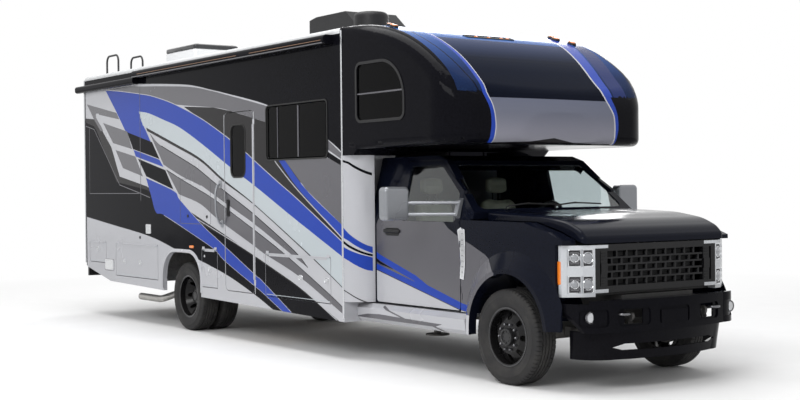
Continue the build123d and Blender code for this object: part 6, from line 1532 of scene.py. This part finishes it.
class MOTORHOME_OT_roof(bpy.types.Operator):
    """Roof vent with its dark lid, and trims of the awnings"""

    bl_idname = "motorhome.roof"
    bl_label = "Roof"

    def execute(self, context):
        low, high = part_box("roof_vent")
        top = high[2] - 0.0005
        ring = rounded_outline((low[0], high[0]), (low[1], high[1]), 0.05, 6)
        base = plate(ring, ((0, low[2] + 0.001), (0.002, top - 0.085), (0.010, top - 0.075),
                            (0.030, top - 0.070)), *FLAT)
        lid = plate(ring, ((0.030, top - 0.078), (0.006, top - 0.070), (0.001, top - 0.060),
                           (0.004, top - 0.020), (0.030, top - 0.006), (0.09, top)), *FLAT)
        piece = put("roof_vent_body", *base, "white_plastic")
        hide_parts("roof_vent")
        put("roof_vent_lid", *lid, "lid_smoke")
        bright, copper = [], []
        for _, sign in SIDES:
            plane = wall_plane(sign, AWNING_Y)
            bright.append(strip((-3.06, 3.205), (1.63, 3.205), 0.012, 0.004, plane))
            copper.append(strip((0.10, 3.232), (1.60, 3.232), 0.006, 0.003, plane))
            copper.append(strip((-2.90, 3.232), (-0.20, 3.232), 0.006, 0.003, plane))
        put("awning_trims", *merge(*bright), "dark_chrome")
        put("awning_lines", *merge(*copper), "copper_line")
        return {"FINISHED"}


class MOTORHOME_OT_sides(bpy.types.Operator):
    """Mouldings, window bars, latches, handles, vents and marker lamps of the coach's sides"""

    bl_idname = "motorhome.sides"
    bl_label = "Sides"

    def execute(self, context):
        for side, sign in SIDES:
            plane = wall_plane(sign, WALL_Y)
            bright = [strip((1.800, 0.42), (1.800, 3.32), 0.022, 0.006, plane),
                      strip((-4.972, 0.72), (-4.972, 3.30), 0.030, 0.008, plane)]
            dark = [strip((-3.080, 1.60), (-3.080, 3.07), 0.010, 0.003, plane)]
            bars, rims = [], []
            pane = wall_plane(sign, GLASS_Y)
            for x in (0.935,) + ((0.50,) if sign < 0 else ()):
                bars.append(strip((x, 2.07), (x, 2.62), 0.022 if x > 0.6 else 0.010, 0.010, pane))
            bars.append(strip((2.085, 2.655), (2.868, 2.655), 0.016, 0.010, pane))
            edge = rounded_outline((0.262, 1.523), (2.052, 2.638), 0.05, 8)
            rims.append(rim(edge, ((-0.010, 0.007), (-0.008, 0.0105), (0.002, 0.0105), (0.004, 0.008),
                                   (0.016, 0.008), (0.018, -0.008), (0.010, -0.008)), plane))
            if sign < 0:
                bright += [strip((-0.024, 0.56), (-0.024, 2.60), 0.009, 0.005, plane),
                           strip((-0.738, 0.56), (-0.738, 2.60), 0.006, 0.003, plane)]
                self.entry(plane)
                self.access(plane)
            put(f"side_mouldings_{side}", *merge(*bright), "bright_aluminium")
            put(f"side_lines_{side}", *merge(*dark), "grey_paint")
            put(f"window_bars_{side}", *merge(*bars), "grey_paint")
            put(f"window_rubber_{side}", *merge(*rims), "sealing_rubber")
            self.latches(side, plane)
            arch = self.arch_lip(sign)
            put(f"arch_lip_{side}", *arch, "silver_paint", smooth=50)
        return {"FINISHED"}

    def latches(self, side, plane):
        """Latches and round locks on each baggage door, riding with it."""
        for name, places in (("front", (0.965, 1.675)), ("mid", (-1.135,)), ("rear", (-3.12, -3.62)),
                             ("tail", (-4.545,))):
            node = f"bag_door_{name}_{side}"
            if node not in NODES:
                continue
            low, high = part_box(node)
            z = high[2] - 0.24 if name != "tail" else high[2] - 0.10
            parts = []
            for x in places:
                x = min(max(x, low[0] + 0.08), high[0] - 0.08)
                parts.append(paddle((x, z), 0.085, 0.062, plane))
            parts.append(badge_round((low[0] + 0.07, high[2] - 0.09), 0.016, 0.006, plane))
            put(f"latch_{name}_{side}", *merge(*parts), "bright_aluminium", node)
            seams = [strip((low[0] + 0.02, z_), (high[0] - 0.02, z_), 0.006, 0.0025, plane)
                     for z_ in (low[2] + 0.018, high[2] - 0.018)]
            put(f"panel_edge_{name}_{side}", *merge(*seams), "pale_paint", node)

    def entry(self, plane):
        """Handle and lock of the entry door, the rubber round its pane, and the grab handle behind it.
        """
        handle = merge(
            plate(rounded_outline((-0.685, -0.615), (1.42, 1.62), 0.02),
                  ((0, -0.001), (0, 0.006), (0.004, 0.010), (0.010, 0.010), (0.014, 0.003)), *plane),
            strip((-0.65, 1.50), (-0.65, 1.60), 0.026, 0.016, plane, 0.002),
            badge_round((-0.65, 1.455), 0.012, 0.010, plane))
        put("entry_handle", *handle, "black_plastic", "entry_door")
        edge = rounded_outline((-0.581, -0.229), (1.869, 2.471), 0.092, 8)
        rubber_ring = rim(edge, ((-0.006, -0.002), (-0.006, 0.004), (-0.002, 0.006), (0.006, 0.006),
                                 (0.010, -0.008), (0.0, -0.008)), plane)
        put("entry_pane_rubber", *rubber_ring, "sealing_rubber", "entry_door")
        path = flow([(-0.80, -WALL_Y, 1.33), (-0.80, -1.300, 1.35), (-0.81, -1.330, 1.45),
                     (-0.82, -1.332, 1.56), (-0.83, -1.330, 1.68), (-0.84, -1.300, 1.78),
                     (-0.84, -WALL_Y, 1.80)], 6)
        feet = [plate(rounded_outline((x - 0.03, x + 0.03), (z - 0.045, z + 0.045), 0.02),
                      ((0, -0.001), (0, 0.008), (0.006, 0.014)), *plane)
                for x, z in ((-0.80, 1.335), (-0.84, 1.795))]
        put("grab_handle", *merge(tube(path, 0.013), *feet), "mirror_silver")

    def access(self, plane):
        """Service doors, vents, sockets and the marker lamp of the entry side."""
        seam, fittings, pale = [], [], []
        for low, high in (((-1.915, 1.32), (-1.095, 1.87)), ((-4.30, 0.64), (-3.98, 0.80))):
            ring = rounded_outline((low[0], high[0]), (low[1], high[1]), 0.03)
            seam.append(rim(ring, ((0, -0.001), (0, 0.002), (0.003, 0.003), (0.006, 0.002),
                                   (0.006, -0.001)), plane))
        for x, z in ((-1.705, 1.415), (-1.195, 1.41), (-3.12, 1.12)):
            fittings.append(badge_round((x, z), 0.020, 0.007, plane))
        pale.append(vent_slats((-2.92, -2.78), (1.175, 1.295), 4, plane))
        pale.append(plate(rounded_outline((-4.28, -4.02), (0.655, 0.795), 0.02),
                          ((0, -0.001), (0, 0.007), (0.006, 0.010), (0.016, 0.010), (0.02, 0.004)),
                          *plane))
        put("service_seams", *merge(*seam), "grey_paint")
        put("service_locks", *merge(*fittings), "black_plastic")
        put("service_covers", *merge(*pale), "white_plastic")
        lens = plate(rounded_outline((-1.66, -1.555), (1.025, 1.06), 0.014),
                     ((0, -0.001), (0, 0.006), (0.004, 0.012), (0.012, 0.014)), *plane)
        put("side_marker", *lens, "amber_lens")

    def arch_lip(self, sign):
        """Moulded lip round the rear wheel arch: its section swept along the arch's edge."""
        half, top, r = 0.525, 0.966, 0.330
        a = np.linspace(np.pi, 0, 25)
        arc = [((half - r) * np.sign(math.cos(t)) * (1 if abs(math.cos(t)) > 1e-6 else 0)
                + r * math.cos(t), top - r + r * math.sin(t)) for t in a]
        path = np.array([(-half, 0.50)] + arc + [(half, 0.50)])
        path[:, 0] += AXLE_R
        t = np.gradient(path, axis=0)
        t /= np.linalg.norm(t, axis=1)[:, None]
        n = np.stack([-t[:, 1], t[:, 0]], 1)
        section = np.array(((0.0, -0.004), (0.0, 0.012), (0.010, 0.016), (0.030, 0.010), (0.042, 0.0),
                            (0.044, -0.002)))
        p = path[:, None, :] + section[None, :, :1] * n[:, None, :]
        verts = np.stack([p[..., 0], sign * (WALL_Y + np.broadcast_to(section[:, 1], p.shape[:2])),
                          p[..., 1]], -1)
        return verts.reshape(-1, 3), quads(len(path), len(section), wrap_cols=True)


# ---------------------------------------------------------------- stage
class MOTORHOME_OT_stage(bpy.types.Operator):
    """Set up the camera, the pale floor, the white backdrop and the lamps"""

    bl_idname = "motorhome.stage"
    bl_label = "Stage"

    def execute(self, context):
        scene = context.scene
        s = scene.motorhome_stage
        cy, sy, cp, sp = (math.cos(s.heading), math.sin(s.heading), math.cos(s.pitch),
                          math.sin(s.pitch))
        ahead = Vector((cy * cp, sy * cp, sp))
        right = ahead.cross(Vector((0, 0, 1))).normalized()
        up = right.cross(ahead)
        cr, sr = math.cos(s.roll), math.sin(s.roll)
        right, up = cr * right + sr * up, -sr * right + cr * up
        camera = bpy.data.objects.new("camera", bpy.data.cameras.new("camera"))
        camera.data.lens = s.lens
        camera.data.sensor_width = 36
        camera.data.clip_end = 200
        turn = Matrix((right, up, -ahead)).transposed().to_4x4()
        camera.matrix_world = Matrix.Translation(Vector(s.eye)) @ turn
        scene.collection.objects.link(camera)
        scene.camera = camera
        self.floor()
        self.backdrop(scene, s.fill)
        for name, place, size, power in (
            ("key_lamp", (9.0, -13.0, 9.0), (8.0, 5.0), 900.0),
            ("top_lamp", (0.0, -2.0, 11.0), (12.0, 6.0), 900.0),
            ("back_lamp", (-9.0, 9.0, 7.0), (7.0, 5.0), 500.0),
        ):
            lamp = bpy.data.lights.new(name, "AREA")
            lamp.shape = "RECTANGLE"
            lamp.size, lamp.size_y = size
            lamp.energy = power
            ob = bpy.data.objects.new(name, lamp)
            scene.collection.objects.link(ob)
            aim = Vector((0.0, 0.0, 1.5)) - Vector(place)
            ob.matrix_world = (Matrix.Translation(Vector(place))
                               @ aim.to_track_quat("-Z", "Y").to_matrix().to_4x4())
        scene.view_settings.view_transform = "Standard"
        return {"FINISHED"}

    def floor(self):
        """Round floor whose shade fades to the backdrop's white away from the vehicle."""
        mat, new, link, bsdf = shader("floor_white")
        coords = new("ShaderNodeTexCoord")
        length = new("ShaderNodeVectorMath")
        length.operation = "LENGTH"
        link(coords.outputs["Object"], length.inputs[0])
        far = spread(new, link, length.outputs["Value"], 0.0, 1.0, 7.0, 13.0)
        tone = spread(new, link, noise(new, link, coords, 3.0, 4.0), 0.86, 0.88)
        shade = new("ShaderNodeCombineColor")
        for socket in shade.inputs[:3]:
            link(tone, socket)
        link(shade.outputs[0], bsdf.inputs["Base Color"])
        bsdf.inputs["Roughness"].default_value = 0.9
        bsdf.inputs["Specular IOR Level"].default_value = 0.1
        glow = new("ShaderNodeEmission")
        glow.inputs["Strength"].default_value = 1.0
        rays = new("ShaderNodeLightPath")
        seen = new("ShaderNodeMath")
        seen.operation = "MULTIPLY"
        link(rays.outputs["Is Camera Ray"], seen.inputs[0])
        link(far, seen.inputs[1])
        mix = new("ShaderNodeMixShader")
        link(seen.outputs[0], mix.inputs[0])
        link(bsdf.outputs[0], mix.inputs[1])
        link(glow.outputs[0], mix.inputs[2])
        out = [n for n in mat.node_tree.nodes if n.type == "OUTPUT_MATERIAL"][0]
        link(mix.outputs[0], out.inputs[0])
        a = np.linspace(0, 2 * np.pi, 96, endpoint=False)
        radii = np.array((0.01, 3, 6, 10, 16, 40))
        p = np.stack([radii[:, None] * np.cos(a), radii[:, None] * np.sin(a),
                      np.full((len(radii), len(a)), -0.0005)], -1)
        mesh = bpy.data.meshes.new("floor")
        rings = quads(len(radii), len(a), wrap_cols=True).tolist()
        mesh.from_pydata(p.reshape(-1, 3).tolist(), [], rings + [list(range(len(a)))])
        mesh.materials.append(mat)
        floor = bpy.data.objects.new("floor", mesh)
        bpy.context.scene.collection.objects.link(floor)

    def backdrop(self, scene, fill):
        """White to the camera, to reflections and through glass; an even fill for the rest."""
        world = bpy.data.worlds.new("backdrop")
        scene.world = world
        world.use_nodes = True
        tree = world.node_tree
        tree.nodes.clear()
        rays = tree.nodes.new("ShaderNodeLightPath")
        seen = tree.nodes.new("ShaderNodeMath")
        seen.operation = "MAXIMUM"
        both = tree.nodes.new("ShaderNodeMath")
        both.operation = "MAXIMUM"
        tree.links.new(rays.outputs["Is Camera Ray"], seen.inputs[0])
        tree.links.new(rays.outputs["Is Glossy Ray"], seen.inputs[1])
        tree.links.new(seen.outputs[0], both.inputs[0])
        tree.links.new(rays.outputs["Is Transmission Ray"], both.inputs[1])
        mix = tree.nodes.new("ShaderNodeMixShader")
        light = tree.nodes.new("ShaderNodeBackground")
        white = tree.nodes.new("ShaderNodeBackground")
        light.inputs["Color"].default_value = (1, 1, 1, 1)
        light.inputs["Strength"].default_value = fill
        white.inputs["Color"].default_value = (1, 1, 1, 1)
        white.inputs["Strength"].default_value = 1.0
        tree.links.new(both.outputs[0], mix.inputs[0])
        tree.links.new(light.outputs[0], mix.inputs[1])
        tree.links.new(white.outputs[0], mix.inputs[2])
        out = tree.nodes.new("ShaderNodeOutputWorld")
        tree.links.new(mix.outputs[0], out.inputs[0])


OPERATORS = (MOTORHOME_OT_finishes, MOTORHOME_OT_livery, MOTORHOME_OT_cap, MOTORHOME_OT_wheels,
             MOTORHOME_OT_front, MOTORHOME_OT_seats, MOTORHOME_OT_roof,
             MOTORHOME_OT_sides, MOTORHOME_OT_stage)


class MOTORHOME_PT_panel(bpy.types.Panel):
    """Buttons and settings in the sidebar"""

    bl_label = "Motorhome"
    bl_idname = "MOTORHOME_PT_panel"
    bl_space_type = "VIEW_3D"
    bl_region_type = "UI"
    bl_category = "Motorhome"

    def draw(self, context):
        for group in ("motorhome_paint", "motorhome_trim", "motorhome_stage"):
            settings = getattr(context.scene, group)
            box = self.layout.box()
            for name in settings.bl_rna.properties.keys():
                if name not in ("rna_type", "name"):
                    box.prop(settings, name)
        for op in OPERATORS:
            self.layout.operator(op.bl_idname)


SETTINGS = (
    ("motorhome_paint", PaintSettings),
    ("motorhome_trim", TrimSettings),
    ("motorhome_stage", StageSettings),
)


def register():
    for cls in [c for _, c in SETTINGS] + list(OPERATORS) + [MOTORHOME_PT_panel]:
        bpy.utils.register_class(cls)
    for name, cls in SETTINGS:
        setattr(bpy.types.Scene, name, bpy.props.PointerProperty(type=cls))


def unregister():
    for name, _ in SETTINGS:
        delattr(bpy.types.Scene, name)
    for cls in [MOTORHOME_PT_panel] + list(OPERATORS)[::-1] + [c for _, c in SETTINGS]:
        bpy.utils.unregister_class(cls)


def main():
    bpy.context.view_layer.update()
    register()
    for op in OPERATORS:
        group, name = op.bl_idname.split(".")
        getattr(getattr(bpy.ops, group), name)()


if __name__ == "__main__":
    main()
